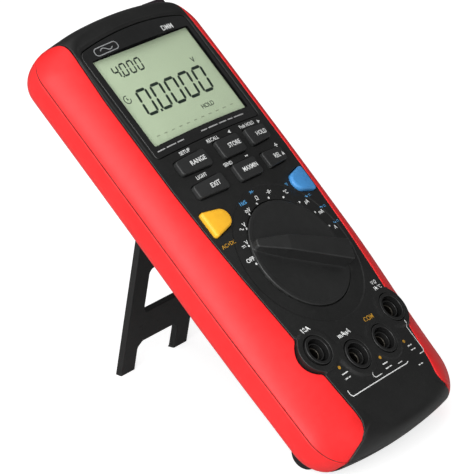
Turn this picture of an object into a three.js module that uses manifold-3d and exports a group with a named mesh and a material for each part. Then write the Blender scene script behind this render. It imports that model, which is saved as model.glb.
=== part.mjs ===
// Handheld-format bench multimeter, propped on its open tilt stand.
// Everything is drawn in the meter's own frame (mm): x across, y up the length of the case, z out of
// the face, origin at the dial centre on the face. "Front" is +z, "back" is -z, "left" is -x.
// The last step leans the whole assembly back on its stand, so that +Z is up, the face looks
// towards -Y, and the feet stand on z = 0.
import * as THREE from "three";
import { mergeVertices } from "three/addons/utils/BufferGeometryUtils.js";
import Module from "manifold-3d";

const wasm = await Module();
wasm.setup();
const { degToRad, radToDeg, clamp, smoothstep } = THREE.MathUtils;

// ---------------------------------------------------------------- driving dimensions
const LEAN = degToRad(39); // the case's length above the table
const Y_TOP = 107.9; // ends of the case
const Y_BOT = -70.9;
const Y_MID = (Y_TOP + Y_BOT) / 2;
const HALF_W = 42.4; // half width at the parting line
const BOW = 3.8; // how far both ends bow out over the half width
const R_TOP = 11; // plan corner radii
const R_BOT = 14;
const R_MIN = 1.2; // smallest corner radius of an inset outline
const NARROWING = 0.036; // share of the width lost at the socket end
const Z_PART = -12.8; // parting line between the two halves
const PART_GAP = 0.3;
const FRONT_RIM = Z_PART + PART_GAP / 2;
const REAR_RIM = Z_PART - PART_GAP / 2;
const RIM_OVERLAP = 4; // how far hollowing forms run past the parting line
const Z_BACK = -24.6; // back plane
const Z_HUMP = -31; // raised middle of the back
const CROWN = 3 / 33 ** 2; // z drops by CROWN * x^2 across the face
const GRIP_T = 2; // soft grip thickness
const GAP = 0.3; // between neighbouring parts
const PANEL_GAP = 0.28; // between the grip and the black panel
const SHELL_INSET = GRIP_T + GAP; // hard shell under the grip
const WALL = 2; // hard shell thickness under the grip
const CAVITY_INSET = SHELL_INSET + WALL;
const FACE_T = 2.4; // hard shell thickness under the face
const REAR_T = 2.2; // the same under the back's black panel
const PANEL_WALL = 3.2; // how far the panel's hollow stays inside the panel plan
const BELOW = -40; // z levels for through cuts and regions
const ABOVE = 20;

const DIAL_R = 21.2; // selector knob radius
const POCKET_R = DIAL_R + 0.35;
const DISH_R = 27.4; // shallow dish round the knob
const KNOB_TOP = -0.8;
const KNOB_SEAT = -2.2;
const BAR_TOP = 4.6;
const SWITCH_STEP = 18; // degrees between switch positions
const OFF_ANGLE = 171; // first of ten positions
const REST_ANGLE = OFF_ANGLE - SWITCH_STEP;

const JACKS = [
  { name: "10a", x: -22.7, y: -32.4 },
  { name: "maua", x: -8.2, y: -40.5 },
  { name: "com", x: 8.2, y: -40.5 },
  { name: "v", x: 22.7, y: -32.4 },
];
const JACK_R = 4.25; // shrouded mouth
const BOSS_R = 8.1; // raised ring round a socket
const SCREWS = [[-21.5, 96.5], [21.5, 96.5], [-12.6, -52.6], [12.6, -52.6]]; // x, y
const TOP_SCREWS = SCREWS.slice(0, 2);
const SCREW_HOLE_R = 1.65;
const BOARD_FRONT = -17.55; // parts stand on the main board here

const HINGE_Y = 45.9; // tilt stand axis
const HINGE_Z = -29.3;
const STAND_L = 69.6;
const STAND_W = 39;
const STAND_T = 2.7;
const STAND_OPEN = degToRad(57.3); // from folded
const TABLE = -62.45; // level of the table along the world's vertical, from the dial centre
const FOOT = { y: -57, z: -27.5, r: 5.5, x0: 17, x1: 31 };

const BATTERY = { halfWidth: 12.9, y0: 54.4, y1: 98.8, z0: -28.3, z1: -11.6 };
const BATTERY_Z = (BATTERY.z0 + BATTERY.z1) / 2;
const TERMINALS = [
  { x: -6.35, studR: 2.7, holeR: 3 },
  { x: 6.35, studR: 3.6, holeR: 3.95 },
];
const COVER_SCREW_Y = 94.6;

// ---------------------------------------------------------------- geometry kit
function solid(geometry) {
  geometry.deleteAttribute("normal");
  geometry.deleteAttribute("uv");
  const merged = mergeVertices(geometry, 1e-4);
  return new wasm.Manifold(
    new wasm.Mesh({
      numProp: 3,
      vertProperties: new Float32Array(merged.attributes.position.array),
      triVerts: new Uint32Array(merged.index.array),
    }),
  );
}

function geometryOf(body) {
  const mesh = body.getMesh();
  const geometry = new THREE.BufferGeometry();
  geometry.setAttribute("position", new THREE.BufferAttribute(mesh.vertProperties, 3));
  geometry.setIndex(new THREE.BufferAttribute(mesh.triVerts, 1));
  return geometry.toNonIndexed();
}

const union = (...parts) => parts.reduce((sum, part) => sum.add(part));
const cut = (body, ...tools) => tools.reduce((rest, tool) => rest.subtract(tool), body);

function box(x0, x1, y0, y1, z0, z1) {
  const geometry = new THREE.BoxGeometry(x1 - x0, y1 - y0, z1 - z0);
  return solid(geometry.translate((x0 + x1) / 2, (y0 + y1) / 2, (z0 + z1) / 2));
}

function cylinderX(x0, x1, y, z, r, seg = 24) {
  const geometry = new THREE.CylinderGeometry(r, r, x1 - x0, seg).rotateZ(Math.PI / 2);
  return solid(geometry.translate((x0 + x1) / 2, y, z));
}

function cylinderY(x, y0, y1, z, r, seg = 16) {
  return solid(new THREE.CylinderGeometry(r, r, y1 - y0, seg).translate(x, (y0 + y1) / 2, z));
}

function cylinderZ(x, y, z0, z1, r, seg = 28) {
  const geometry = new THREE.CylinderGeometry(r, r, z1 - z0, seg).rotateX(Math.PI / 2);
  return solid(geometry.translate(x, y, (z0 + z1) / 2));
}
const throughHole = (x, y, r, seg) => cylinderZ(x, y, BELOW, ABOVE, r, seg);

const shapeOf = (points) => new THREE.Shape(points.map(([u, v]) => new THREE.Vector2(u, v)));
const extrude = (points, depth) =>
  new THREE.ExtrudeGeometry(shapeOf(points), { depth, bevelEnabled: false });

// Prisms from profiles in the x-y, y-z and x-z planes.
const prism = (points, z0, z1) => solid(extrude(points, z1 - z0).translate(0, 0, z0));

function prismX(points, x0, x1) {
  const axes = new THREE.Matrix4().set(0, 0, 1, x0, 1, 0, 0, 0, 0, 1, 0, 0, 0, 0, 0, 1);
  return solid(extrude(points, x1 - x0).applyMatrix4(axes));
}

function prismY(points, y0, y1) {
  const axes = new THREE.Matrix4().set(1, 0, 0, 0, 0, 0, -1, y1, 0, 1, 0, 0, 0, 0, 0, 1);
  return solid(extrude(points, y1 - y0).applyMatrix4(axes));
}

// A ring, tube or cup turned about z: points are [r, z]; a profile off the axis is closed here.
function turned(x, y, profile, seg = 28) {
  const points = profile.map(([r, z]) => new THREE.Vector2(r, z));
  if (points[0].x > 1e-6) points.push(points[0].clone());
  return solid(new THREE.LatheGeometry(points, seg).rotateX(Math.PI / 2).translate(x, y, 0));
}

// Points on an arc, both ends included; angles in degrees.
function arc(x, y, r, from, to, steps) {
  return Array.from({ length: steps + 1 }, (_, i) => {
    const angle = degToRad(from + ((to - from) * i) / steps);
    return [x + r * Math.cos(angle), y + r * Math.sin(angle)];
  });
}

function roundRect(x0, x1, y0, y1, r, seg = 4) {
  return [
    ...arc(x1 - r, y0 + r, r, -90, 0, seg),
    ...arc(x1 - r, y1 - r, r, 0, 90, seg),
    ...arc(x0 + r, y1 - r, r, 90, 180, seg),
    ...arc(x0 + r, y0 + r, r, 180, 270, seg),
  ];
}

// A counter-clockwise polygon with every edge moved out by the same distance.
function grownPoly(polygon, distance) {
  const count = polygon.length;
  const edgeNormal = ([x0, y0], [x1, y1]) => {
    const length = Math.hypot(x1 - x0, y1 - y0);
    return [(y1 - y0) / length, (x0 - x1) / length];
  };
  return polygon.map((point, i) => {
    const before = edgeNormal(polygon[(i + count - 1) % count], point);
    const after = edgeNormal(point, polygon[(i + 1) % count]);
    const scale = distance / (1 + before[0] * after[0] + before[1] * after[1]);
    return [point[0] + scale * (before[0] + after[0]), point[1] + scale * (before[1] + after[1])];
  });
}

// A polygon from its right half, closed by the mirror image on the left.
const mirrored = (right) => right.concat(right.map(([x, y]) => [-x, y]).reverse());
// The x range from..to on the right, or its mirror image on the left.
const span = (side, from, to) => (side < 0 ? [-to, -from] : [from, to]);
const sideName = (side) => (side < 0 ? "left" : "right");

// ---------------------------------------------------------------- scene graph
const PAINT = {
  black: 0x2b2c2c, red: 0xe8282c, dark: 0x1b1c1c, lens: 0x9fb0a0, lcd: 0xaab79c,
  white: 0xe6e6e0, yellow: 0xf6b92c, blue: 0x4b95d6, brass: 0xc9a24b, steel: 0xb4b8bb,
  green: 0x1f5a3a, rubber: 0x111213, grey: 0x6d7072, orange: 0xd9742a, chip: 0x17181a,
  ceramic: 0xe9e4d8,
};
const METALS = ["brass", "steel"];
const root = new THREE.Group();
root.name = "bench_multimeter";

function piece(name, body, colour) {
  const material = new THREE.MeshStandardMaterial({
    color: PAINT[colour],
    roughness: 0.6,
    metalness: METALS.includes(colour) ? 1 : 0,
  });
  const mesh = new THREE.Mesh(geometryOf(body), material);
  mesh.name = name;
  root.add(mesh);
}

// ---------------------------------------------------------------- body surfaces
// The face falls gently towards the socket end, and rolls off at both ends.
const fall = (y) => 0.65 * (Math.min(y, 0) / 37) ** 2;
const chin = (y) => (y < -54 ? ((-54 - y) / 12) ** 1.4 * 2.6 : 0);
const brow = (y) => (y > 98 ? ((y - 98) / 6) ** 1.6 * 1.1 : 0);
const faceZ = (x, y) => -CROWN * x * x - fall(y) - chin(y) - brow(y);

// Half width of the black face panel up the length: y, half width before the fall is allowed for.
const FACE_STATIONS = [
  [-66, 24.6], [-60, 25.1], [-48, 26.2], [-34, 27.3], [-20, 28.4], [0, 30.2],
  [20, 31.6], [38, 32.3], [77, 32.4], [93, 31.6], [104, 30.7],
].map(([y, halfWidth]) => [y, halfWidth - 1.2 * fall(y)]);

function faceHalf(y) {
  if (y <= FACE_STATIONS[0][0]) return FACE_STATIONS[0][1];
  const next = FACE_STATIONS.findIndex(([station]) => y <= station);
  if (next < 0) return FACE_STATIONS.at(-1)[1];
  const [y0, width0] = FACE_STATIONS[next - 1];
  const [y1, width1] = FACE_STATIONS[next];
  return width0 + ((width1 - width0) * (y - y0)) / (y1 - y0);
}

// Right half of the plan outline, drawn in by inset, from the bottom centre to the top centre.
function outline(inset, coarse = false) {
  const width = HALF_W - inset;
  const bottom = Y_BOT + inset;
  const top = Y_TOP - inset;
  const bow = (x) => BOW * (x / HALF_W) ** 2;
  const tiltAt = (x) => Math.atan((2 * BOW * x) / HALF_W ** 2);
  // the corner arc meets the bowed end at x, found by iteration
  const corner = (yEnd, fullRadius, inward) => {
    const radius = Math.max(fullRadius - inset, R_MIN);
    let x = width - radius;
    for (let k = 0; k < 4; k++) x = width - radius * (1 - Math.sin(tiltAt(x)));
    const tilt = tiltAt(x);
    const centreY = yEnd + inward * (bow(x) + radius * Math.cos(tilt));
    return { x, tilt: radToDeg(tilt), circle: [x - radius * Math.sin(tilt), centreY, radius] };
  };
  const low = corner(bottom, R_BOT, 1);
  const high = corner(top, R_TOP, -1);
  const endSteps = coarse ? 1 : 3;
  const cornerSteps = coarse ? 2 : 4;
  const half = [];
  for (let i = 0; i < endSteps; i++) {
    const x = (low.x * i) / endSteps;
    half.push([x, bottom + bow(x)]);
  }
  half.push(...arc(...low.circle, -90 + low.tilt, 0, cornerSteps));
  for (const y of coarse ? [-34, 20, 77] : [-46, -20, 0, 20, 38, 77]) half.push([width, y]);
  half.push(...arc(...high.circle, 0, 90 - high.tilt, cornerSteps));
  for (let i = endSteps - 1; i >= 0; i--) {
    const x = (high.x * i) / endSteps;
    half.push([x, top - bow(x)]);
  }
  // the case narrows slightly towards the socket end
  return half.map(([x, y]) => [x * (1 - NARROWING * smoothstep(-y, -5, 70)), y]);
}

// A closed solid from right-half rings of [x, y, z] with equal counts, lowest first. The two ends
// are closed row by row, with extra points at the given shares of the half width; topZ(x, y)
// shapes those of the top, so a crowned face keeps its shape.
function loft(halves, columns, topZ = null) {
  const rings = halves.map((half) => [
    ...half,
    ...half.slice(1, -1).reverse().map(([x, y, z]) => [-x, y, z]),
  ]);
  const count = rings[0].length;
  const vertices = rings.flat();
  const faces = [];
  for (let k = 0; k + 1 < rings.length; k++)
    for (let i = 0; i < count; i++) {
      const here = k * count + i;
      const next = k * count + ((i + 1) % count);
      faces.push([here, next, next + count], [here, next + count, here + count]);
    }
  // each row joins half[i] on the right with its mirror on the left
  const row = (half, base, i, heightAt) => {
    const right = base + i;
    if (i === 0 || i === half.length - 1) return [right];
    const [xRight, y, z] = half[i];
    const inner = columns.map((share) => {
      const x = xRight * share;
      return vertices.push([x, y, heightAt ? heightAt(x, y) : z]) - 1;
    });
    return [base + count - i, ...inner, right];
  };
  const cap = (half, base, heightAt) => {
    const capFaces = [];
    let low = row(half, base, 0, heightAt);
    for (let i = 1; i < half.length; i++) {
      const high = row(half, base, i, heightAt);
      for (let k = 0; k + 1 < Math.max(low.length, high.length); k++) {
        if (low.length === 1) capFaces.push([low[0], high[k + 1], high[k]]);
        else if (high.length === 1) capFaces.push([low[k], low[k + 1], high[0]]);
        else capFaces.push([low[k], low[k + 1], high[k + 1]], [low[k], high[k + 1], high[k]]);
      }
      low = high;
    }
    return capFaces;
  };
  faces.push(...cap(halves.at(-1), (rings.length - 1) * count, topZ));
  faces.push(...cap(halves[0], 0, null).map((face) => face.reverse()));
  const geometry = new THREE.BufferGeometry();
  geometry.setAttribute("position", new THREE.Float32BufferAttribute(vertices.flat(), 3));
  geometry.setIndex(faces.flat());
  return solid(geometry);
}

// Front half drawn in by inset: from its base over the sloped grip to the crowned face.
function frontForm(inset, base, coarse = false) {
  const rim = outline(inset, coarse);
  const faceEdge = rim.map(([x, y]) => {
    const yFace = Y_MID + (y - Y_MID) * 0.952;
    return [(x / (HALF_W - inset)) * faceHalf(yFace), yFace];
  });
  const topZ = (x, y) => faceZ(x, y) - inset;
  // a base at or above the parting line takes the place of the ring there
  const steps = coarse ? [0.25, 1] : [0.1, 0.3, 0.6, 1];
  if (base < Z_PART - 1e-6) steps.unshift(0);
  const halves = [rim.map(([x, y]) => [x, y, base])];
  for (const step of steps) {
    const ring = rim.map(([xRim, yRim], i) => {
      const [xFace, yFace] = faceEdge[i];
      const x = xRim + (xFace - xRim) * step;
      const y = yRim + (yFace - yRim) * step;
      // the slope is a superellipse, fuller in the middle of the two ends
      const atEnd = clamp((Math.abs(y - Y_MID) - 72) / 12, 0, 1);
      const fullness = atEnd * (1 - smoothstep(Math.abs(x), 20, 36));
      const power = 1.45 - 0.17 * smoothstep(-y, 0, 45) + fullness;
      const rise = (1 - (1 - step) ** power) ** (1 / power);
      return [x, y, Z_PART + (topZ(xFace, yFace) - Z_PART) * rise];
    });
    halves.push(ring);
  }
  return loft(halves, coarse ? [0] : [-0.55, 0, 0.55], topZ);
}

// Rear half drawn in by inset, from its flat back up to rimZ.
function rearForm(inset, rimZ, coarse = false) {
  const back = Z_BACK + inset;
  // z, further inset
  const rows = coarse
    ? [[back, 5.6], [back + 3.6, 1], [rimZ, 0]]
    : [[back, 5.6], [back + 0.45, 3.8], [back + 1.9, 2], [-19.4, 0.7], [rimZ, 0]];
  const ring = ([z, further]) => outline(inset + further, coarse).map(([x, y]) => [x, y, z]);
  return loft(rows.map(ring), [0]);
}

// The black panel: face width between the grips, running out to the corners at both ends.
function panel(grow) {
  const right = [
    [38.5, Y_BOT - 6], [35.5, -69.6], [29.6, -67.3], [25.7, -65.4], [23.2, -63], [22.2, -60],
    ...[-48, -34, -20, 0, 20, 38, 58, 77, 93, 99].map((y) => [faceHalf(y), y]),
    [31.2, 102.8], [32.4, 105], [35.5, 107.2], [39, Y_TOP + 4],
  ];
  const grown = right.map(([x, y], i) => {
    const [x0, y0] = right[Math.max(0, i - 1)];
    const [x1, y1] = right[Math.min(right.length - 1, i + 1)];
    const length = Math.hypot(x1 - x0, y1 - y0);
    return [x + (grow * (y1 - y0)) / length, y - (grow * (x1 - x0)) / length];
  });
  return prism(mirrored(grown), BELOW, ABOVE);
}

// ---------------------------------------------------------------- plan shapes
// Window: straight bottom edge, bowed top edge.
const LENS = [[-29.2, 51.2], [29.2, 51.2]];
for (let i = 0; i <= 10; i++) {
  const x = 29.4 - (58.8 * i) / 10;
  LENS.push([x, 99 - 2.4 * (x / 29.4) ** 2]);
}

// Raised middle of the back.
const HUMP = roundRect(-25.9, 25.9, -55.2, 102, 7);

// Rectangular key with chamfered corners; the left and right ends may be narrower.
function taper(x0, x1, y0, y1, narrowLeft, narrowRight) {
  const chamfer = 0.8;
  const left = { low: y0 + narrowLeft, high: y1 - narrowLeft * 0.3 };
  const right = { low: y0 + narrowRight, high: y1 - narrowRight * 0.3 };
  return [
    [x0 + chamfer, left.low], [x1 - chamfer, right.low],
    [x1, right.low + chamfer], [x1, right.high - chamfer],
    [x1 - chamfer, right.high], [x0 + chamfer, left.high],
    [x0, left.high - chamfer], [x0, left.low + chamfer],
  ];
}

// Key with a rounded end towards the middle of the face.
function bullet(side) {
  const points = [[-29.5, 17.3], [-23.6, 17.3]];
  for (let i = 1; i < 8; i++) {
    const angle = degToRad(-90 + (180 * i) / 8);
    points.push([-23.6 + 5.4 * Math.cos(angle), 22.65 + 5.35 * Math.sin(angle)]);
  }
  points.push([-23.6, 28], [-29.5, 28]);
  return side < 0 ? points : points.map(([x, y]) => [-x, y]).reverse();
}

const RISE = 1.5; // keys stand this proud of the crown
const BULLET_RISE = 1.25;
// name, plan, rise, colour
const KEYS = [
  ["key_range", taper(-25.3, -10.6, 40.9, 47.6, 0.9, 0), RISE, "black"],
  ["key_store", taper(-4.2, 8.6, 40.6, 47.8, 0, 0), RISE, "black"],
  ["key_hold", taper(13.3, 25.6, 40.9, 47.6, 0, 0.9), RISE, "black"],
  ["key_exit", taper(-25.3, -10.6, 31, 37.3, 0.9, 0), RISE, "black"],
  ["key_maxmin", taper(-4.2, 8.6, 30.8, 37.5, 0, 0), RISE, "black"],
  ["key_rel", taper(13.3, 25.6, 31, 37.3, 0, 0.9), RISE, "black"],
  ["key_yellow", bullet(-1), BULLET_RISE, "yellow"],
  ["key_blue", bullet(1), BULLET_RISE, "blue"],
];

// ---------------------------------------------------------------- front casing
const outerFront = frontForm(0, FRONT_RIM);
const outerRear = rearForm(0, REAR_RIM);

// Raised rings round the sockets, flat-topped where the face falls away.
function bossTop(x) {
  const across = Math.abs(x);
  return -CROWN * (across - 3) ** 2 - 0.43 + 0.02 * (across - 8.2);
}

function frontCase() {
  const hollow = union(
    frontForm(CAVITY_INSET, Z_PART - RIM_OVERLAP, true),
    frontForm(FACE_T, Z_PART - RIM_OVERLAP, true).intersect(panel(-PANEL_WALL)),
  );
  const shell = union(frontForm(SHELL_INSET, FRONT_RIM), outerFront.intersect(panel(0)));
  const body = union(
    shell.subtract(hollow),
    ...JACKS.map(({ x, y }) => cylinderZ(x, y, -9, bossTop(x), BOSS_R)),
    cylinderZ(0, 0, -4.4, -1.6, 24.6, 24), // knob bearing plate
    prism(grownPoly(LENS, 1.6), -5.4, -3), // window frame
    ...SCREWS.map(([x, y]) => cylinderZ(x, y, Z_PART + 0.2, y > 0 ? -3.5 : -1.8, 3.3, 16)),
  );
  const dishFloor = -1.15;
  const dishProfile = [
    [0, dishFloor], [POCKET_R, dishFloor], [DISH_R, -0.25], [DISH_R, 3], [0, 3],
  ];
  return cut(
    body,
    turned(0, 0, dishProfile, 36),
    cylinderZ(0, 0, KNOB_SEAT - 0.4, 5, POCKET_R, 36), // knob pocket
    throughHole(0, 0, 4.75, 16), // shaft bore
    prism(grownPoly(LENS, GAP), -3.5, 3), // window pocket
    prism(roundRect(-28.1, 28.1, 53.4, 94.1, 0.8, 2), -12, 3), // window opening
    ...KEYS.map(([, plan]) => prism(grownPoly(plan, GAP), BELOW, ABOVE)),
    ...JACKS.map(({ x, y }) => throughHole(x, y, 5.75, 20)),
    ...SCREWS.map(([x, y]) => cylinderZ(x, y, -14, -5, SCREW_HOLE_R, 12)),
    box(16.7, 31.3, 96, 112, -10.6, -5.4), // optical port slot in the top end wall
  );
}
piece("front_case", frontCase(), "black");

function gripPieces(half, grip) {
  for (const side of [-1, 1]) {
    const region = box(...span(side, 0, 60), -90, 130, BELOW, ABOVE);
    piece(`${half}_grip_${sideName(side)}`, grip.intersect(region), "red");
  }
}

gripPieces("front", cut(
  outerFront,
  frontForm(GRIP_T, Z_PART - RIM_OVERLAP),
  panel(PANEL_GAP),
  ...JACKS.map(({ x, y }) => cylinderZ(x, y, -12, 6, BOSS_R + GAP)),
));

// ---------------------------------------------------------------- rear casing
// A block round each rubber foot, with a margin at its ends.
const footBlocks = (endMargin, halfLength, z0, z1) =>
  [-1, 1].map((side) => {
    const range = span(side, FOOT.x0 - endMargin, FOOT.x1 + endMargin);
    return box(...range, FOOT.y - halfLength, FOOT.y + halfLength, z0, z1);
  });

function rearCase() {
  const hollow = union(
    rearForm(CAVITY_INSET, Z_PART + RIM_OVERLAP, true),
    rearForm(REAR_T, Z_PART + RIM_OVERLAP, true).intersect(panel(-PANEL_WALL)),
  );
  const shell = union(rearForm(SHELL_INSET, REAR_RIM), outerRear.intersect(panel(0)));
  const humped = cut(
    union(shell.subtract(hollow), prism(HUMP, Z_HUMP, -22.5)),
    prism(grownPoly(HUMP, -2), Z_HUMP + 2, -20.2),
  );
  const standEnd = HINGE_Y - STAND_L;
  const body = union(
    humped,
    // tub behind the folded stand, with bearing cheeks
    box(-22.6, 22.6, standEnd - 3.4, HINGE_Y + 4.2, Z_HUMP + 0.01, -25.7),
    ...SCREWS.map(([x, y]) => cylinderZ(x, y, Z_HUMP + 0.5, REAR_RIM, 3.6, 18)),
    ...footBlocks(0.6, 6.4, -25.2, -21.8), // cradles for the rubber feet
  );
  return cut(
    body,
    box(-19.95, 19.95, standEnd - 0.9, HINGE_Y + 2.1, BELOW, -27.6), // stand pocket
    cylinderX(-21.85, 21.85, HINGE_Y, HINGE_Z, 1.5, 20), // hinge bearings
    ...SCREWS.flatMap(([x, y]) => [
      cylinderZ(x, y, BELOW, -27.4, 3.25, 16),
      throughHole(x, y, SCREW_HOLE_R, 12),
    ]),
    box(-15, 15, 53, 99.3, BELOW, -22), // battery bay
    box(-16.7, 16.7, 51.3, 100.6, BELOW, -28.7), // rebate for its cover
    ...[-1, 1].map((side) => {
      const range = span(side, FOOT.x0 - GAP, FOOT.x1 + GAP);
      return cylinderX(...range, FOOT.y, FOOT.z, FOOT.r + GAP, 20);
    }),
  );
}
piece("rear_case", rearCase(), "black");

gripPieces("rear", cut(
  outerRear,
  rearForm(GRIP_T, Z_PART + RIM_OVERLAP),
  panel(PANEL_GAP),
  ...footBlocks(1, 6.8, -36, -21.4),
  prism(grownPoly(HUMP, GAP), BELOW, -20),
));

// ---------------------------------------------------------------- window and display stack
const screwClearance = (r) => TOP_SCREWS.map(([x, y]) => throughHole(x, y, r, 16));

function displayLens() {
  return prism(LENS, -3.35, 3).intersect(frontForm(0.3, Z_PART));
}

function lcdFrame() {
  return cut(
    prism(roundRect(-28.2, 28.2, 52, 94.2, 1.5, 3), -7.9, -5.8),
    box(-25.5, 25.5, 56.5, 91.5, -6.8, -5), // recess for the backlight guide
    ...screwClearance(3.8),
  );
}

function displayBoard() {
  return cut(
    prism(roundRect(-30.5, 30.5, 13, 93, 2, 3), -9.7, -8.1),
    ...screwClearance(4),
    throughHole(0, 0, 19, 32), // clear of the selector
  );
}

piece("display_lens", displayLens(), "lens");
piece("lcd_glass", prism(roundRect(-27.6, 27.6, 54, 93.6, 0.6, 2), -5.2, -3.65), "lcd");
piece("lcd_frame", lcdFrame(), "white");
piece("backlight_guide", box(-25.2, 25.2, 56.8, 91.2, -6.55, -5.5), "white");
piece("zebra_strip", box(-24, 24, 49.4, 51.2, -7.9, -6.3), "rubber");
piece("display_board", displayBoard(), "green");

// ---------------------------------------------------------------- keys and mat
// A cap that follows the crowned face, with a wider skirt under the case.
function keyBody(plan, rise) {
  const xs = plan.map(([x]) => x);
  const ys = plan.map(([, y]) => y);
  const x0 = Math.min(...xs) - 1;
  const x1 = Math.max(...xs) + 1;
  const columns = 5;
  const arch = Array.from({ length: columns + 1 }, (_, i) => {
    const x = x1 + ((x0 - x1) * i) / columns;
    return [x, -CROWN * x * x + rise];
  });
  const crowned = prismY([[x0, -8], [x1, -8], ...arch], Math.min(...ys) - 1, Math.max(...ys) + 1);
  const skirt = prism(grownPoly(plan, 0.95), -5.7, -4.9);
  return union(
    prism(plan, -5, 4).intersect(crowned),
    skirt.intersect(box(-27.4, 27.4, 0, 60, -10, 0)),
  );
}
for (const [name, plan, rise, colour] of KEYS) piece(name, keyBody(plan, rise), colour);

function keypadMat() {
  const sheet = prism(roundRect(-28.2, 28.2, 14.8, 48.8, 2, 2), -7.9, -6.75);
  return sheet.subtract(throughHole(0, 0, 18.4, 32));
}
piece("keypad_mat", keypadMat(), "grey");

// ---------------------------------------------------------------- selector switch
// Bar handle with its pointer tip at +x.
function knobBar() {
  const plan = [
    [20.6, -1.5], [20.6, 1.5], [18, 2.1], [9, 2.9],
    [-20.4, 4.2], [-20.4, -4.2], [9, -2.9], [18, -2.1],
  ];
  // x, z
  const side = [
    [21.5, -1.6], [21.5, KNOB_TOP + 1.5], [8.5, BAR_TOP],
    [-19.2, BAR_TOP + 0.3], [-21.2, BAR_TOP - 1], [-21.2, -1.6],
  ];
  return prism(plan, -1.9, 8).intersect(prismY(side, -10, 10));
}

function selectorKnob() {
  const disc = [
    [0, KNOB_SEAT], [DIAL_R - 0.1, KNOB_SEAT], [DIAL_R, KNOB_SEAT + 0.5],
    [DIAL_R, KNOB_TOP - 0.5], [DIAL_R - 0.5, KNOB_TOP], [0, KNOB_TOP + 0.15],
  ];
  const shaft = cylinderZ(0, 0, -17, KNOB_SEAT + 0.3, 4.4, 20);
  const knob = union(turned(0, 0, disc, 40), knobBar(), shaft);
  return solid(geometryOf(knob).rotateZ(degToRad(REST_ANGLE)));
}

// Disc with one shallow notch in its rim per switch step.
function switchRotor() {
  const notches = 360 / SWITCH_STEP;
  const rim = Array.from({ length: 60 }, (_, i) => {
    const angle = (2 * Math.PI * i) / 60;
    const r = 17 - 0.55 * (0.5 - 0.5 * Math.cos(angle * notches));
    return [r * Math.cos(angle), r * Math.sin(angle)];
  });
  return prism(rim, -16, -12.6).subtract(throughHole(0, 0, 4.6, 24));
}

// Flat ring with three contact bumps on its back.
function wiperContacts() {
  const ring = [[10, -16.85], [14.5, -16.85], [14.5, -16.3], [10, -16.3]];
  const bumps = [[12.2, 0], [-6.1, 10.56], [-6.1, -10.56]];
  return union(
    turned(0, 0, ring, 24),
    ...bumps.map(([x, y]) => cylinderZ(x, y, -17.4, -16.5, 1, 6)),
  );
}

// Bowed detent spring beside the rotor rim, held at its two ends.
function detentSpring() {
  const inner = [];
  const outer = [];
  for (let i = 0; i <= 10; i++) {
    const angle = degToRad(-36 + 7.2 * i);
    const r = 18.4 - Math.exp(-(((i - 5) / 1.6) ** 2)); // dips towards the rotor mid-length
    inner.push([r * Math.cos(angle), r * Math.sin(angle)]);
    outer.push([(r + 0.45) * Math.cos(angle), (r + 0.45) * Math.sin(angle)]);
  }
  return union(
    prism(inner.concat(outer.reverse()), -16, -12.8),
    box(14.3, 16.4, 10.3, 12.6, -17.3, -12.8),
    box(14.3, 16.4, -12.6, -10.3, -17.3, -12.8),
  );
}

piece("selector_knob", selectorKnob(), "black");
piece("switch_rotor", switchRotor(), "white");
piece("wiper_contacts", wiperContacts(), "brass");
piece("detent_spring", detentSpring(), "steel");

// ---------------------------------------------------------------- main board
function mainBoard() {
  const right = [[23, -47], [30.4, -40], [33.3, -20], [33.3, 48]];
  const holes = JACKS.map(({ x, y }) => throughHole(x, y, 2.75, 20));
  return cut(prism(mirrored(right), -19.3, -17.7), ...holes);
}

function meterChip() {
  const dimple = cylinderZ(-18.7, 46.2, -16.2, -15, 0.5, 10);
  return cut(box(-20, -9, 38.6, 47.4, BOARD_FRONT, -15.9), dimple);
}

function buzzer() {
  const x = 24.5;
  const y = -19.5;
  const can = [[1.1, -17.5], [6, -17.5], [6, -13.6], [5.5, -13.1], [1.1, -13.1]];
  return union(turned(x, y, can, 18), cylinderZ(x, y, -17.5, -14.2, 2, 12));
}

// Shunt: thick wire link standing on the board.
function shuntLink() {
  // x, z
  const bends = [
    [-8, BOARD_FRONT], [-8, -15], [-6.6, -12.4], [-3, -11.4],
    [3, -11.4], [6.6, -12.4], [8, -15], [8, BOARD_FRONT],
  ].map(([x, z]) => new THREE.Vector3(x, -25.5, z));
  const extrudePath = new THREE.CatmullRomCurve3(bends, false, "catmullrom", 0.5);
  const section = shapeOf(arc(0, 0, 0.85, 0, 315, 7));
  const options = { steps: 16, bevelEnabled: false, extrudePath };
  return solid(new THREE.ExtrudeGeometry(section, options));
}

piece("main_board", mainBoard(), "green");
piece("meter_chip", meterChip(), "chip");
piece("buzzer", buzzer(), "chip");
piece("shunt_link", shuntLink(), "brass");

// Fuses lie across the board in spring clips.
const FUSES = [
  { name: "fuse_10a", y: 25.2, length: 38, r: 3.15 },
  { name: "fuse_ma", y: 33.8, length: 30, r: 2.9 },
];
const FUSE_Z = -13.6;

function fuse({ y, length, r }) {
  const end = length / 2;
  return union(
    cylinderX(-end + 4.5, end - 4.5, y, FUSE_Z, r - 0.25, 16),
    cylinderX(-end, -end + 5.2, y, FUSE_Z, r, 16),
    cylinderX(end - 5.2, end, y, FUSE_Z, r, 16),
  );
}

// An open ring round the fuse's end cap, on a post from the board.
function fuseClip({ y, length, r }, side) {
  const x = side * (length / 2 - 2.7);
  const ring = [
    ...arc(y, FUSE_Z, r + 0.62, 40, -220, 14),
    ...arc(y, FUSE_Z, r + 0.2, -220, 40, 14),
  ];
  return union(
    prismX(ring, x - 1.9, x + 1.9),
    box(x - 1.9, x + 1.9, y - 1.3, y + 1.3, BOARD_FRONT, FUSE_Z - r - 0.35),
  );
}

for (const spec of FUSES) {
  piece(spec.name, fuse(spec), "ceramic");
  piece(`${spec.name}_clip_a`, fuseClip(spec, -1), "brass");
  piece(`${spec.name}_clip_b`, fuseClip(spec, 1), "brass");
}

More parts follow.
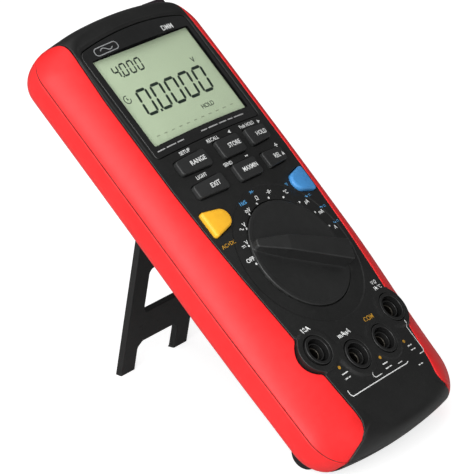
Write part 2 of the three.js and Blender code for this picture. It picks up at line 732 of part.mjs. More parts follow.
// ---------------------------------------------------------------- input sockets
function socket(x, y, top) {
  const profile = [
    [2.95, -17.3], [5.45, -17.3], [5.45, top - 0.5], [5, top], [4.6, top],
    [JACK_R, top - 0.35], [JACK_R, -15.6], [3.35, -15.6], [3.35, top - 3], [2.95, top - 3],
  ];
  return turned(x, y, profile, 18);
}

function socketContact(x, y, top) {
  const profile = [
    [0, -20], [2.4, -20], [2.65, -19.8], [2.65, top - 3.4],
    [2.35, top - 3.1], [2, top - 3.1], [2, -18.6], [0, -18.6],
  ];
  return turned(x, y, profile, 16);
}

for (const { name, x, y } of JACKS) {
  const top = bossTop(x) + 0.25;
  piece(`socket_${name}`, socket(x, y, top), "dark");
  piece(`contact_${name}`, socketContact(x, y, top), "brass");
}

// ---------------------------------------------------------------- battery and cover
function battery() {
  const { halfWidth, y0, y1, z0, z1 } = BATTERY;
  const profile = [
    [y0, z0 + 1], [y0 + 1, z0], [y1 - 1, z0], [y1, z0 + 1],
    [y1, z1 - 1], [y1 - 1, z1], [y0 + 1, z1], [y0, z1 - 1],
  ];
  return union(
    prismX(profile, -halfWidth, halfWidth),
    ...TERMINALS.map(({ x, studR }) => cylinderY(x, y0 - 2.1, y0 + 0.1, BATTERY_Z, studR)),
  );
}

function batterySnap() {
  return cut(
    box(-11.8, 11.8, 50.2, 53.9, -24.6, -15.4),
    ...TERMINALS.map(({ x, holeR }) => cylinderY(x, 52.1, 55.1, BATTERY_Z, holeR)),
  );
}

function batteryCover() {
  return cut(
    union(
      box(-16.4, 16.4, 51.6, 100.3, Z_HUMP, -28.95),
      box(-7, 7, 52.6, 54, -29.2, -28.95),
    ),
    cylinderZ(0, COVER_SCREW_Y, BELOW, -30, 3.1, 20),
    throughHole(0, COVER_SCREW_Y, 1.55, 12),
    ...[55, 57.6, 60.2].map((y) => box(-6, 6, y, y + 1.2, BELOW, -30.4)), // grooves
  );
}

const crossSlot = (x, y, reach, halfSlot, z0, z1) => [
  box(x - reach, x + reach, y - halfSlot, y + halfSlot, z0, z1),
  box(x - halfSlot, x + halfSlot, y - reach, y + reach, z0, z1),
];

function coverScrew() {
  const profile = [
    [0, -30.95], [2.5, -30.95], [2.8, -30.7], [2.8, -30.2],
    [1.3, -30.1], [1.3, -28.75], [0, -28.75],
  ];
  const slots = crossSlot(0, COVER_SCREW_Y, 2.2, 0.35, -31.2, -30.6);
  return cut(turned(0, COVER_SCREW_Y, profile, 16), ...slots);
}

piece("battery_9v", battery(), "orange");
piece("battery_snap", batterySnap(), "dark");
piece("battery_cover", batteryCover(), "black");
piece("cover_screw", coverScrew(), "steel");

// ---------------------------------------------------------------- case screws, optical port
function caseScrew(x, y) {
  const profile = [
    [0, -29.6], [2.5, -29.6], [2.9, -29.2], [2.9, -27.9], [1.4, -27.6], [1.4, -9.6], [0, -8.9],
  ];
  return cut(turned(x, y, profile, 14), ...crossSlot(x, y, 2.1, 0.4, -30, -28.9));
}
SCREWS.forEach(([x, y], i) => piece(`case_screw_${i + 1}`, caseScrew(x, y), "steel"));

// y, z
const PORT_PROFILE = [
  [101.6, -10.2], [107.7, -10.2], [108.1, -9.8], [108.1, -6.4], [107.5, -5.8], [101.6, -5.8],
];
piece("optical_port", prismX(PORT_PROFILE, 17.1, 30.9), "grey");

// ---------------------------------------------------------------- tilt stand and feet
// Everything below the table, in the meter's frame.
const underTable = solid(
  new THREE.BoxGeometry(300, 300, 100)
    .translate(0, 0, -50)
    .rotateX(-LEAN)
    .translate(0, TABLE * Math.sin(LEAN), TABLE * Math.cos(LEAN)),
);

function tiltStand() {
  // folded, the stand lies along -y from its hinge; its tips run long, to be trimmed by the table
  const halfWidth = STAND_W / 2;
  const halfT = STAND_T / 2;
  const tip = HINGE_Y - STAND_L - 1.5;
  const leg = 11.6; // inner edge of each leg
  const plate = mirrored([
    [halfWidth - 1.4, HINGE_Y + 1.3], [halfWidth, HINGE_Y - 1.4], [halfWidth, tip],
    [leg - 0.7, tip], [leg - 0.7, tip + 1.9], [leg, tip + 2.4],
    [leg, tip + 11.4], [leg - 1, tip + 12.6], [leg - 2.4, tip + 13.2],
  ]);
  const opening = roundRect(-11, 11, tip + 25.8, tip + 43.5, 2);
  const folded = union(
    cut(
      prism(plate, HINGE_Z - halfT, HINGE_Z + halfT),
      prism(opening, BELOW, -20),
      box(-30, 30, HINGE_Y, HINGE_Y + 5, BELOW, -20),
    ),
    // rolled edge at the hinge, with a trunnion at each side
    cylinderX(-halfWidth + 0.4, halfWidth - 0.4, HINGE_Y, HINGE_Z, halfT, 20),
    cylinderX(-21.6, 21.6, HINGE_Y, HINGE_Z, 1.25, 16),
  );
  const opened = geometryOf(folded)
    .translate(0, -HINGE_Y, -HINGE_Z)
    .rotateX(STAND_OPEN)
    .translate(0, HINGE_Y, HINGE_Z);
  return solid(opened).subtract(underTable);
}
piece("tilt_stand", tiltStand(), "rubber");

// A roller-shaped foot lying along x, flattened by the table.
function foot(side) {
  const { y, z, r, x0, x1 } = FOOT;
  const profile = [
    [0, x0], [r - 0.9, x0], [r, x0 + 0.9], [r, x1 - 1.4],
    [r - 0.5, x1 - 0.5], [r - 1.4, x1], [0, x1],
  ].map(([radius, along]) => new THREE.Vector2(radius, along));
  const geometry = new THREE.LatheGeometry(profile, 24).rotateZ(-Math.PI / 2);
  if (side < 0) geometry.rotateY(Math.PI);
  return solid(geometry.translate(0, y, z)).subtract(underTable);
}
for (const side of [-1, 1]) piece(`foot_${sideName(side)}`, foot(side), "rubber");

// ---------------------------------------------------------------- lean back, stand on the table
for (const { geometry } of root.children) geometry.rotateX(LEAN);
const bounds = new THREE.Box3().setFromObject(root);
const shift = new THREE.Vector3(0, -(bounds.min.y + bounds.max.y) / 2, -bounds.min.z);
for (const { geometry } of root.children) {
  geometry.translate(shift.x, shift.y, shift.z);
  geometry.computeVertexNormals();
}
root.userData.shift = shift; // where the dial centre ends up

export default root;
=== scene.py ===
"""A bench multimeter leaning back on its tilt stand, on a pale floor.

Everything is drawn in the meter's own frame, in mm: x across the case, y up its length, z out
of the face, origin at the dial's centre.  to_scene() leans it back and turns it into metres.
"""
import math

import bmesh
import bpy
import numpy as np
from mathutils import Matrix, Vector
from mathutils.geometry import delaunay_2d_cdt


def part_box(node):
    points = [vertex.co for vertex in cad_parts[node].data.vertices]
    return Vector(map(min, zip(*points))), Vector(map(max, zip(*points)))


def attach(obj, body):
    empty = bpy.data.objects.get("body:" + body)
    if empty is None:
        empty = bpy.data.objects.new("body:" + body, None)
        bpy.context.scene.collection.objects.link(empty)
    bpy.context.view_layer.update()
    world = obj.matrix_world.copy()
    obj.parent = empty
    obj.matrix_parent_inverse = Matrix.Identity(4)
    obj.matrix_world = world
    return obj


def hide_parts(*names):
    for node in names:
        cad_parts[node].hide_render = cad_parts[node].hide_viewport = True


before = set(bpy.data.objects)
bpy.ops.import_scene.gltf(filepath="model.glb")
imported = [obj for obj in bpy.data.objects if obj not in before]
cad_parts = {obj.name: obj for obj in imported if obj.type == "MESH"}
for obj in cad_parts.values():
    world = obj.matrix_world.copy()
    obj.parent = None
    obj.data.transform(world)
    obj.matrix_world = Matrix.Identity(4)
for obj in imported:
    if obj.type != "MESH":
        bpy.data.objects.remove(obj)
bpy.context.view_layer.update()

scene = bpy.context.scene

# ------------------------------------------------------------------ driving dimensions
LEAN = math.radians(39.0)
Y_TOP, Y_BOT, HALF_W = 107.9, -70.9, 42.4
Y_MID = (Y_TOP + Y_BOT) / 2
END_SAG = 3.8  # how far the curved ends fall back at the corners
R_TOP, R_BOT = 11.0, 14.0  # corner radii in plan
Z_PART, Z_BACK, Z_HUMP = -12.8, -24.6, -31.0  # parting line, back, raised bay on the back
CROWN = 3.0 / (33 * 33)  # the face is a parabola across: z = -CROWN x²
DIAL_R, DISH_R = 21.2, 27.4
KNOB_HOLE_R = DIAL_R + 0.35
KNOB_ANGLE = 153.0
OUTER_X, OUTER_Y = 22.7, -32.4  # outer and inner pairs of sockets
INNER_X, INNER_Y = 8.2, -40.5
JACKS = [("10a", -OUTER_X, OUTER_Y), ("maua", -INNER_X, INNER_Y),
         ("com", INNER_X, INNER_Y), ("v", OUTER_X, OUTER_Y)]
BOSS_R, JACK_R = 8.1, 4.25
CASE_SCREWS = [(-21.5, 96.5), (21.5, 96.5), (-12.6, -52.0), (12.6, -52.0)]
COVER_SCREW_Y = 94.6
LCD_BOTTOM, LCD_BACK, LCD_FRONT = 54.0, -5.2, -3.65
HINGE_Y, HINGE_Z = 45.9, -29.3
STAND_L, STAND_W, STAND_T, STAND_OPEN = 69.6, 39.0, 2.7, 57.3
FOOT_Y, FOOT_Z, FOOT_R, FOOT_X0, FOOT_X1 = -57.0, -27.5, 5.5, 17.0, 31.0

# ------------------------------------------------------------------ the leaning frame
COS_LEAN, SIN_LEAN = math.cos(LEAN), math.sin(LEAN)
lcd_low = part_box("lcd_glass")[0]
SHIFT_Y = lcd_low.y * 1000 - (LCD_BOTTOM * COS_LEAN - LCD_FRONT * SIN_LEAN)
SHIFT_Z = lcd_low.z * 1000 - (LCD_BOTTOM * SIN_LEAN + LCD_BACK * COS_LEAN)


def to_scene(points):
    points = np.asarray(points, float).reshape(-1, 3)
    out = np.empty_like(points)
    out[:, 0] = points[:, 0]
    out[:, 1] = points[:, 1] * COS_LEAN - points[:, 2] * SIN_LEAN + SHIFT_Y
    out[:, 2] = points[:, 1] * SIN_LEAN + points[:, 2] * COS_LEAN + SHIFT_Z
    return out / 1000.0


# ------------------------------------------------------------------ face height and widths
def fall(y):
    """The face curves gently down towards the socket end."""
    return 0.65 * (np.minimum(y, 0) / 37.0) ** 2


def smooth_table(stations, fall_from, width):
    """Half width as a smooth function of y, drawn in where the face falls.

    fall_from is the lowest y at which the fall is still followed, width the smoothing length.
    """
    ys = [y for y, _ in stations]
    halves = [half - 1.2 * float(fall(max(y, fall_from))) for y, half in stations]
    grid = np.linspace(ys[0] - 30, ys[-1] + 30, 1200)
    values = np.interp(grid, ys, halves)
    reach = max(1, int(width / (grid[1] - grid[0])))
    window = np.hanning(2 * reach + 1)
    window /= window.sum()
    padded = np.concatenate([np.full(reach, values[0]), values, np.full(reach, values[-1])])
    smoothed = np.convolve(padded, window, "valid")
    return lambda y: np.interp(y, grid, smoothed)


# (y, half width before the fall is allowed for)
FACE_EDGE = [(-66, 24.6), (-60, 25.1), (-48, 26.2), (-34, 27.3), (-20, 28.4), (0, 30.2),
             (20, 31.6), (38, 32.3), (77, 32.4), (93, 31.6), (104, 30.7)]
PANEL_EDGE = [(-76.3, 40), (-69.6, 37), (-67.3, 32), (-65.4, 28.6), (-63, 26.2), (-60, 25.2),
              (-48, 26.2), (-34, 27.3), (-20, 28.4), (0, 30.2), (20, 31.6), (38, 32.3),
              (58, 32.35), (77, 32.4), (93, 31.6), (100, 31.15), (102.8, 31.2), (105.0, 32.4),
              (107.2, 35.5), (112.4, 39)]
face_half = smooth_table(FACE_EDGE, -66, 7)
panel_half = smooth_table(PANEL_EDGE, -60, 1.6)


def face_z(x, y):
    """Crowned face, turned down further at the socket end and the display end."""
    chin = np.where(y < -54, (np.maximum(0, -54 - y) / 12) ** 1.4 * 2.6, 0.0)
    brow = np.where(y > 98, (np.maximum(0, y - 98) / 6) ** 1.6 * 1.1, 0.0)
    return -CROWN * x * x - fall(y) - chin - brow


def boss_top(x):
    return -CROWN * (np.abs(x) - 3) ** 2 + 0.35 - 0.78 + 0.020 * (np.abs(x) - INNER_X)


def smooth_step(t):
    t = np.clip(t, 0, 1)
    return t * t * (3 - 2 * t)


def smooth_min(a, b, blend):
    h = np.clip(0.5 + 0.5 * (b - a) / blend, 0, 1)
    return b + (a - b) * h - blend * h * (1 - h)


# ------------------------------------------------------------------ plan outline of the case
def half_columns():
    """(kind, parameter) round the right half outline, bottom centre to top centre."""
    columns = [("bottom", t) for t in np.linspace(0, 1, 22)[:-1]]
    columns += [("bottom corner", t) for t in np.linspace(0, 1, 17)]
    ys = [-51.5]
    while ys[-1] < 91.5:
        y = ys[-1]
        ys.append(y + (0.55 if -45 < y < -21 else 1.5 if -52 < y < 86 else 1.0))
    columns += [("side", y) for y in ys]
    columns += [("top corner", t) for t in np.linspace(0, 1, 19)]
    columns += [("top", t) for t in np.linspace(1, 0, 22)[1:]]
    return columns


COLUMNS = half_columns()
N_COLUMNS = 2 * len(COLUMNS) - 2
IS_END = np.array([kind != "side" for kind, _ in COLUMNS])
IS_END = np.concatenate([IS_END, IS_END[1:-1][::-1]])


def outline(inset):
    """Closed outline of the case drawn in by inset, one point per column."""
    half = HALF_W - inset
    r_bot, r_top = max(R_BOT - inset, 1.2), max(R_TOP - inset, 1.2)

    def corner(y_end, r, inward):
        """x where the end curve stops, its slope there, and the corner's centre."""
        x_end = half - r
        for _ in range(6):
            slope = math.atan(2 * END_SAG * x_end / HALF_W**2)
            x_end = half - r * (1 - math.sin(slope))
        slope = math.atan(2 * END_SAG * x_end / HALF_W**2)
        y = y_end + inward * END_SAG * (x_end / HALF_W) ** 2
        return x_end, slope, x_end - r * math.sin(slope), y + inward * r * math.cos(slope)

    y_bot, y_top = Y_BOT + inset, Y_TOP - inset
    x_bot, slope_bot, cx_bot, cy_bot = corner(y_bot, r_bot, 1)
    x_top, slope_top, cx_top, cy_top = corner(y_top, r_top, -1)
    right = []
    for kind, t in COLUMNS:
        if kind == "bottom":
            x = x_bot * t
            right.append((x, y_bot + END_SAG * (x / HALF_W) ** 2))
        elif kind == "bottom corner":
            a = -math.pi / 2 + slope_bot + (math.pi / 2 - slope_bot) * t
            right.append((cx_bot + r_bot * math.cos(a), cy_bot + r_bot * math.sin(a)))
        elif kind == "side":
            right.append((half, t))
        elif kind == "top corner":
            a = (math.pi / 2 - slope_top) * t
            right.append((cx_top + r_top * math.cos(a), cy_top + r_top * math.sin(a)))
        else:
            x = x_top * t
            right.append((x, y_top - END_SAG * (x / HALF_W) ** 2))
    right = np.array(right)
    right[:, 0] *= 1 - 0.036 * smooth_step((5 - right[:, 1]) / 75)
    left = right[1:-1][::-1].copy()
    left[:, 0] *= -1
    return np.vstack([right, left])


# ------------------------------------------------------------------ closed plan loops
def round_poly(corners, radius, step=0.5):
    """Counter-clockwise polygon with rounded corners (one radius or one each), points about
    step apart along the sides."""
    corners = np.array(corners, float)
    n = len(corners)
    radii = np.full(n, radius, float) if np.isscalar(radius) else np.array(radius, float)
    arcs = []
    for i, p in enumerate(corners):
        u, v = corners[i - 1] - p, corners[(i + 1) % n] - p
        len_u, len_v = np.linalg.norm(u), np.linalg.norm(v)
        u, v = u / len_u, v / len_v
        angle = math.acos(max(-1, min(1, float(u @ v))))
        if angle > math.pi - 0.02 or radii[i] < 1e-6:
            arcs.append([p])
            continue
        back = min(radii[i] / math.tan(angle / 2), 0.48 * len_u, 0.48 * len_v)
        r = back * math.tan(angle / 2)
        middle = (u + v) / np.linalg.norm(u + v)
        centre = p + middle * (r / math.sin(angle / 2))
        start, end = p + u * back - centre, p + v * back - centre
        a0, a1 = math.atan2(start[1], start[0]), math.atan2(end[1], end[0])
        turn = (a1 - a0 + math.pi) % (2 * math.pi) - math.pi
        parts = max(3, int(abs(turn) / math.radians(15)) + 1)
        angles = [a0 + turn * j / parts for j in range(parts + 1)]
        arcs.append([centre + r * np.array([math.cos(a), math.sin(a)]) for a in angles])
    loop = []
    for i in range(n):
        loop += arcs[i]
        start, end = arcs[i][-1], arcs[(i + 1) % n][0]
        parts = int(np.linalg.norm(end - start) / step)
        loop += [start + (end - start) * j / parts for j in range(1, parts)]
    loop = np.array(loop)
    loop = loop[np.linalg.norm(loop - np.roll(loop, 1, 0), axis=1) > 1e-4]
    return loop if signed_area(loop) > 0 else loop[::-1].copy()


def signed_area(loop):
    x, y = loop[:, 0], loop[:, 1]
    return 0.5 * np.sum(x * np.roll(y, -1) - np.roll(x, -1) * y)


def circle(x, y, r, n=72):
    a = np.linspace(0, 2 * math.pi, n, endpoint=False)
    return np.stack([x + r * np.cos(a), y + r * np.sin(a)], 1)


def box_loop(x0, x1, y0, y1, r, step=0.8):
    return round_poly([(x0, y0), (x1, y0), (x1, y1), (x0, y1)], r, step)


def offset(loop, distance):
    """A counter-clockwise loop moved outward."""
    along_loop = np.roll(loop, -1, 0) - np.roll(loop, 1, 0)
    along_loop /= np.maximum(np.linalg.norm(along_loop, axis=1, keepdims=True), 1e-9)
    return loop + np.stack([along_loop[:, 1], -along_loop[:, 0]], 1) * distance


def inside(points, loop):
    x, y = points[:, 0], points[:, 1]
    x0, y0 = loop[:, 0], loop[:, 1]
    x1, y1 = np.roll(x0, -1), np.roll(y0, -1)
    result = np.zeros(len(points), bool)
    for s in range(0, len(points), 4000):
        px, py = x[s:s + 4000, None], y[s:s + 4000, None]
        spans = (y0 > py) != (y1 > py)
        with np.errstate(divide="ignore", invalid="ignore"):
            x_cross = (x1 - x0) * (py - y0) / (y1 - y0) + x0
        result[s:s + 4000] = (np.sum(spans & (px < x_cross), 1) % 2) == 1
    return result


def loop_dist(points, loop):
    """Distance from points to a closed loop's segments."""
    side = np.roll(loop, -1, 0) - loop
    length2 = np.maximum((side**2).sum(1), 1e-12)
    out = np.empty(len(points))
    for s in range(0, len(points), 3000):
        rel = points[s:s + 3000, None, :] - loop[None]
        t = np.clip((rel * side[None]).sum(2) / length2, 0, 1)
        gap = rel - t[..., None] * side[None]
        out[s:s + 3000] = np.sqrt((gap**2).sum(2).min(1))
    return out


# ------------------------------------------------------------------ triangulated plan regions
RING = (0.06, 0.26, 0.6, 1.0, 1.3)  # rows of points across a rounded edge, in radii


def drop(distance, r):
    """How far a rounded edge of radius r sits below its surface, by distance from the edge."""
    distance = np.clip(distance, 0, r)
    return r - np.sqrt(np.maximum(r * r - (r - distance) ** 2, 0))


def twice_area(points, tris):
    a, b, c = (points[tris[:, i]] for i in range(3))
    return (b[:, 0] - a[:, 0]) * (c[:, 1] - a[:, 1]) - (b[:, 1] - a[:, 1]) * (c[:, 0] - a[:, 0])


def region(points, tris, shut, outer, holes):
    """Which triangles belong: patches split by the shut edges, each judged by its largest
    triangle so that slivers along straight sides can't go astray."""
    owner, links = {}, [[] for _ in tris]
    for i, (a, b, c) in enumerate(tris.tolist()):
        for edge in ((a, b), (b, c), (c, a)):
            edge = tuple(sorted(edge))
            if edge in shut:
                continue
            j = owner.setdefault(edge, i)
            if j != i:
                links[i].append(j)
                links[j].append(i)
    size = np.abs(twice_area(points, tris))
    centres = points[tris].mean(1)
    good = inside(centres, outer)
    for hole in holes:
        good &= ~inside(centres, hole)
    keep, seen = np.zeros(len(tris), bool), np.zeros(len(tris), bool)
    for i in range(len(tris)):
        if seen[i]:
            continue
        seen[i] = True
        patch = [i]
        for member in patch:  # the list grows while it is walked
            for j in links[member]:
                if not seen[j]:
                    seen[j] = True
                    patch.append(j)
        patch = np.array(patch)
        big = patch[size[patch].argmax()]
        keep[patch] = good[big] and size[big] > 1e-5
    return keep


def sheet(outer, holes=(), spacing=1.6, r_out=0.0, r_holes=0.0, extra=(), rings=RING):
    """Triangulates a region: its points, triangles, and how far each point sinks because the
    edges are rounded (r_out at the outer loop, r_holes at the holes, one radius or one each)."""
    hole_radii = [r_holes] * len(holes) if np.isscalar(r_holes) else r_holes
    loops = [(outer, r_out, -1)] + [(hole, r, 1) for hole, r in zip(holes, hole_radii)]
    points, sinks, edges = [], [], []
    for loop, r, _ in loops:
        first, n = len(points), len(loop)
        points.extend(map(tuple, loop))
        sinks.extend([float(drop(0, r))] * n)
        edges.extend((first + i, first + (i + 1) % n) for i in range(n))
    n_loop_edges = len(edges)
    for index, (loop, r, side) in enumerate(loops):
        for k in rings if r > 0 else ():
            ring = offset(loop, side * k * r)
            # a ring that runs into another loop keeps only its clear stretches
            clear = np.ones(len(ring), bool)
            for m, (other, _, _) in enumerate(loops):
                if m != index:
                    clear &= inside(ring, other) == (m == 0)
                    clear &= loop_dist(ring, other) > 0.09
            place = {}
            for i in np.flatnonzero(clear):
                place[int(i)] = len(points)
                points.append(tuple(ring[i]))
                sinks.append(float(drop(k * r, r)))
            for i in place:
                j = (i + 1) % len(ring)
                if j in place:
                    edges.append((place[i], place[j]))
    low, high = outer.min(0), outer.max(0)
    xs = np.arange(low[0] + spacing * 0.37, high[0], spacing)
    ys = np.arange(low[1] + spacing * 0.41, high[1], spacing * 0.866)
    lattice = [(x + (spacing / 2 if j % 2 else 0), y) for j, y in enumerate(ys) for x in xs]
    lattice = np.array(lattice).reshape(-1, 2)
    for index, group in enumerate([lattice, *extra]):
        is_lattice = index == 0
        room = 0.45 * spacing if is_lattice else 0.12
        clear = inside(group, outer)
        for hole in holes:
            clear &= ~inside(group, hole)
        group = group[clear]
        for loop, r, _ in loops:
            group = group[loop_dist(group, loop) > room + rings[-1] * r]
        if is_lattice and len(extra):  # the lattice gives way to the extra points
            others = np.vstack(extra)
            keep = np.ones(len(group), bool)
            for s in range(0, len(group), 2000):
                gap2 = ((group[s:s + 2000, None] - others[None]) ** 2).sum(2).min(1)
                keep[s:s + 2000] = gap2 > (0.4 * spacing) ** 2
            group = group[keep]
        points.extend(map(tuple, group))
        sinks.extend([0.0] * len(group))
    verts, new_edges, faces, vert_from, edge_from, _ = delaunay_2d_cdt(
        [Vector(p) for p in points], edges, [], 0, 1e-7)
    placed = np.array([(v.x, v.y) for v in verts])
    source = np.array([o[0] if len(o) else -1 for o in vert_from])
    sunk = np.array([sinks[o[0]] if len(o) else 0.0 for o in vert_from])
    known = source >= 0
    placed[known] = np.array(points)[source[known]]
    tris = np.array([f for f in faces if len(f) == 3], int)
    shut = {tuple(sorted(edge)) for edge, origins in zip(new_edges, edge_from)
            if any(o < n_loop_edges for o in origins)}
    tris = tris[region(placed, tris, shut, outer, holes)]
    clockwise = twice_area(placed, tris) < 0
    tris[clockwise] = tris[clockwise][:, ::-1]
    return placed, tris, sunk


# ------------------------------------------------------------------ mesh assembly
def heights(z, points):
    """z at plan points, from a function of x and y or one number."""
    return z(points[:, 0], points[:, 1]) if callable(z) else np.full(len(points), float(z))


def lift(points, z):
    return np.column_stack([points, np.broadcast_to(z, len(points))])


class Soup:
    """Surface pieces gathered before they are welded into one mesh."""

    def __init__(self):
        self.verts, self.faces, self.mats, self.count = [], [], [], 0

    def add(self, verts, faces, mat=0):
        verts = np.asarray(verts, float).reshape(-1, 3)
        self.verts.append(verts)
        self.faces += [[int(i) + self.count for i in face] for face in faces]
        self.mats += [mat] * len(faces)
        self.count += len(verts)
        return self

    def grid(self, points, wrap_rows=False, wrap_cols=False):
        rows, cols = points.shape[:2]
        i, j = np.meshgrid(np.arange(rows if wrap_rows else rows - 1),
                           np.arange(cols if wrap_cols else cols - 1), indexing="ij")
        next_i, next_j = (i + 1) % rows, (j + 1) % cols
        quads = [i * cols + j, i * cols + next_j, next_i * cols + next_j, next_i * cols + j]
        return self.add(points.reshape(-1, 3), np.stack(quads, -1).reshape(-1, 4))

    def tri(self, points, tris, z, down=False, mat=0):
        return self.add(lift(points, z), tris[:, ::-1] if down else tris, mat)

    def cap(self, z, outer, holes=(), spacing=1.6, r_out=0.0, r_holes=0.0, extra=(),
            rings=RING, down=False, mat=0):
        """A triangulated face with rounded edges, facing up or down."""
        points, tris, sunk = sheet(outer, holes, spacing, r_out, r_holes, extra, rings)
        z = heights(z, points) + (sunk if down else -sunk)
        return self.tri(points, tris, z, down, mat)

    def wall(self, loop, z0, z1):
        return self.grid(np.stack([lift(loop, z0), lift(loop, z1)]), wrap_cols=True)

    def lathe(self, profile, cx, cy, n=64, along_x=False):
        """A closed (radius, along) profile turned about z at x, y = cx, cy, or about a line
        along x at y, z = cx, cy."""
        a = np.linspace(0, 2 * math.pi, n, endpoint=False)
        rows = []
        for r, at in profile:
            row = [cx + r * np.cos(a), cy + r * np.sin(a)]
            row.insert(0 if along_x else 2, np.full(n, at))
            rows.append(np.stack(row, 1))
        return self.grid(np.stack(rows), wrap_rows=True, wrap_cols=True)


def slab(outer, z0, z1, r0=0.0, r1=0.0, holes=(), r_hole=0.3, spacing=2.0, pockets=()):
    """A plate from z0 (towards the back) to z1, outer edges rounded r0 and r1; holes go
    through, pockets are (loop, floor) sunk from z0."""
    soup = Soup()
    sunk = [loop for loop, _ in pockets]
    soup.cap(z0, outer, [*holes, *sunk], spacing, r0, r_hole, down=True)
    soup.cap(z1, outer, holes, spacing, r1, r_hole)
    soup.wall(outer, z0 + r0, z1 - r1)
    for hole in holes:
        soup.wall(hole, z0 + r_hole, z1 - r_hole)
    for loop, floor_z in pockets:
        soup.wall(loop, z0 + r_hole, floor_z)
        soup.cap(floor_z, loop, (), spacing * 1.5, down=True)
    return soup


def round_profile(corners, r=0.2, parts=4):
    """Rounds a closed (radius, along) profile where it is off the axis."""
    out, n = [], len(corners)
    for i, corner in enumerate(corners):
        if corner[0] < 1e-6:
            out.append(corner)
            continue
        p = np.array(corner)
        u, v = np.array(corners[i - 1]) - p, np.array(corners[(i + 1) % n]) - p
        len_u, len_v = np.linalg.norm(u), np.linalg.norm(v)
        back = min(r, 0.45 * len_u, 0.45 * len_v)
        start, end = p + u / len_u * back, p + v / len_v * back
        for j in range(parts + 1):
            t = j / parts
            out.append(tuple((1 - t) ** 2 * start + 2 * t * (1 - t) * p + t * t * end))
    return out


def turned(verts, degrees, first, second, centre=(0, 0)):
    """Points turned in the plane of two axes."""
    a = math.radians(degrees)
    verts = np.array(verts, float)
    u, v = verts[:, first] - centre[0], verts[:, second] - centre[1]
    verts[:, first] = u * math.cos(a) - v * math.sin(a) + centre[0]
    verts[:, second] = u * math.sin(a) + v * math.cos(a) + centre[1]
    return verts


def make(name, soup, mats, replaces=(), body="case", sharp=42.0, place=None,
         cut_table=False, weighted=True, merge=2e-6):
    """Welds a soup into an object; sharp is in degrees, merge in metres.  cut_table cuts away
    what would lie below the floor."""
    verts = np.vstack(soup.verts)
    if place is not None:
        verts = place(verts)
    mesh = bpy.data.meshes.new(name)
    mesh.from_pydata(to_scene(verts).tolist(), [], soup.faces)
    mesh.validate()
    # validate() may drop faces, and the indices would then no longer line up
    if len(mesh.polygons) == len(soup.mats):
        mesh.polygons.foreach_set("material_index", np.array(soup.mats, np.int32))
    bm = bmesh.new()
    bm.from_mesh(mesh)
    bmesh.ops.remove_doubles(bm, verts=bm.verts, dist=merge)
    bmesh.ops.dissolve_degenerate(bm, edges=bm.edges, dist=merge * 0.5)
    if cut_table:
        bmesh.ops.bisect_plane(bm, geom=bm.verts[:] + bm.edges[:] + bm.faces[:],
                               plane_co=(0, 0, 0), plane_no=(0, 0, -1), clear_outer=True,
                               dist=1e-7)
        rim = [e for e in bm.edges if e.is_boundary]
        if rim:
            bmesh.ops.holes_fill(bm, edges=rim, sides=0)
    bare = [e for e in bm.edges if not e.link_faces]
    bmesh.ops.delete(bm, geom=bare, context="EDGES")
    loose = [v for v in bm.verts if not v.link_faces]
    bmesh.ops.delete(bm, geom=loose, context="VERTS")
    bmesh.ops.recalc_face_normals(bm, faces=bm.faces)
    if bm.calc_volume(signed=True) < 0:
        bmesh.ops.reverse_faces(bm, faces=bm.faces)
    limit = math.radians(sharp)
    for edge in bm.edges:
        edge.smooth = not (edge.is_manifold and edge.calc_face_angle(0.0) > limit)
    for face in bm.faces:
        face.smooth = True
    bm.to_mesh(mesh)
    bm.free()
    obj = bpy.data.objects.new(name, mesh)
    scene.collection.objects.link(obj)
    for mat in mats if isinstance(mats, list) else [mats]:
        mesh.materials.append(mat)
    if weighted:
        modifier = obj.modifiers.new("weighted", "WEIGHTED_NORMAL")
        modifier.keep_sharp = True
        modifier.mode = "FACE_AREA"
        modifier.weight = 60
    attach(obj, body)
    if replaces:
        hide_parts(*replaces)


# ------------------------------------------------------------------ shader nodes
class Nodes:
    """Builds shader nodes; inputs may be values or the sockets that feed them."""

    def __init__(self, owner):
        owner.use_nodes = True
        self.tree = owner.node_tree

    def __getitem__(self, name):
        return self.tree.nodes[name]

    def wire(self, node, inputs):
        for key, value in inputs.items():
            if isinstance(value, bpy.types.NodeSocket):
                self.tree.links.new(value, node.inputs[key])
            else:
                node.inputs[key].default_value = value

    def new(self, kind, inputs={}, **settings):
        node = self.tree.nodes.new("ShaderNode" + kind)
        for key, value in settings.items():
            setattr(node, key, value)
        self.wire(node, inputs)
        return node

    def math(self, operation, a, b, clamp=False):
        return self.new("Math", {0: a, 1: b}, operation=operation, use_clamp=clamp).outputs[0]

    def noise(self, vector, scale, detail=3.0, roughness=0.55):
        inputs = {"Vector": vector, "Scale": scale, "Detail": detail, "Roughness": roughness}
        return self.new("TexNoise", inputs).outputs["Fac"]

    def map_range(self, value, from_min, from_max, to_min=0, to_max=1):
        return self.new("MapRange", {
            "Value": value, "From Min": from_min, "From Max": from_max, "To Min": to_min,
            "To Max": to_max}).outputs["Result"]

    def mix(self, factor, a, b):
        a, b = ((*c, 1) if isinstance(c, tuple) else c for c in (a, b))
        return self.new("Mix", {0: factor, 6: a, 7: b}, data_type="RGBA").outputs[2]


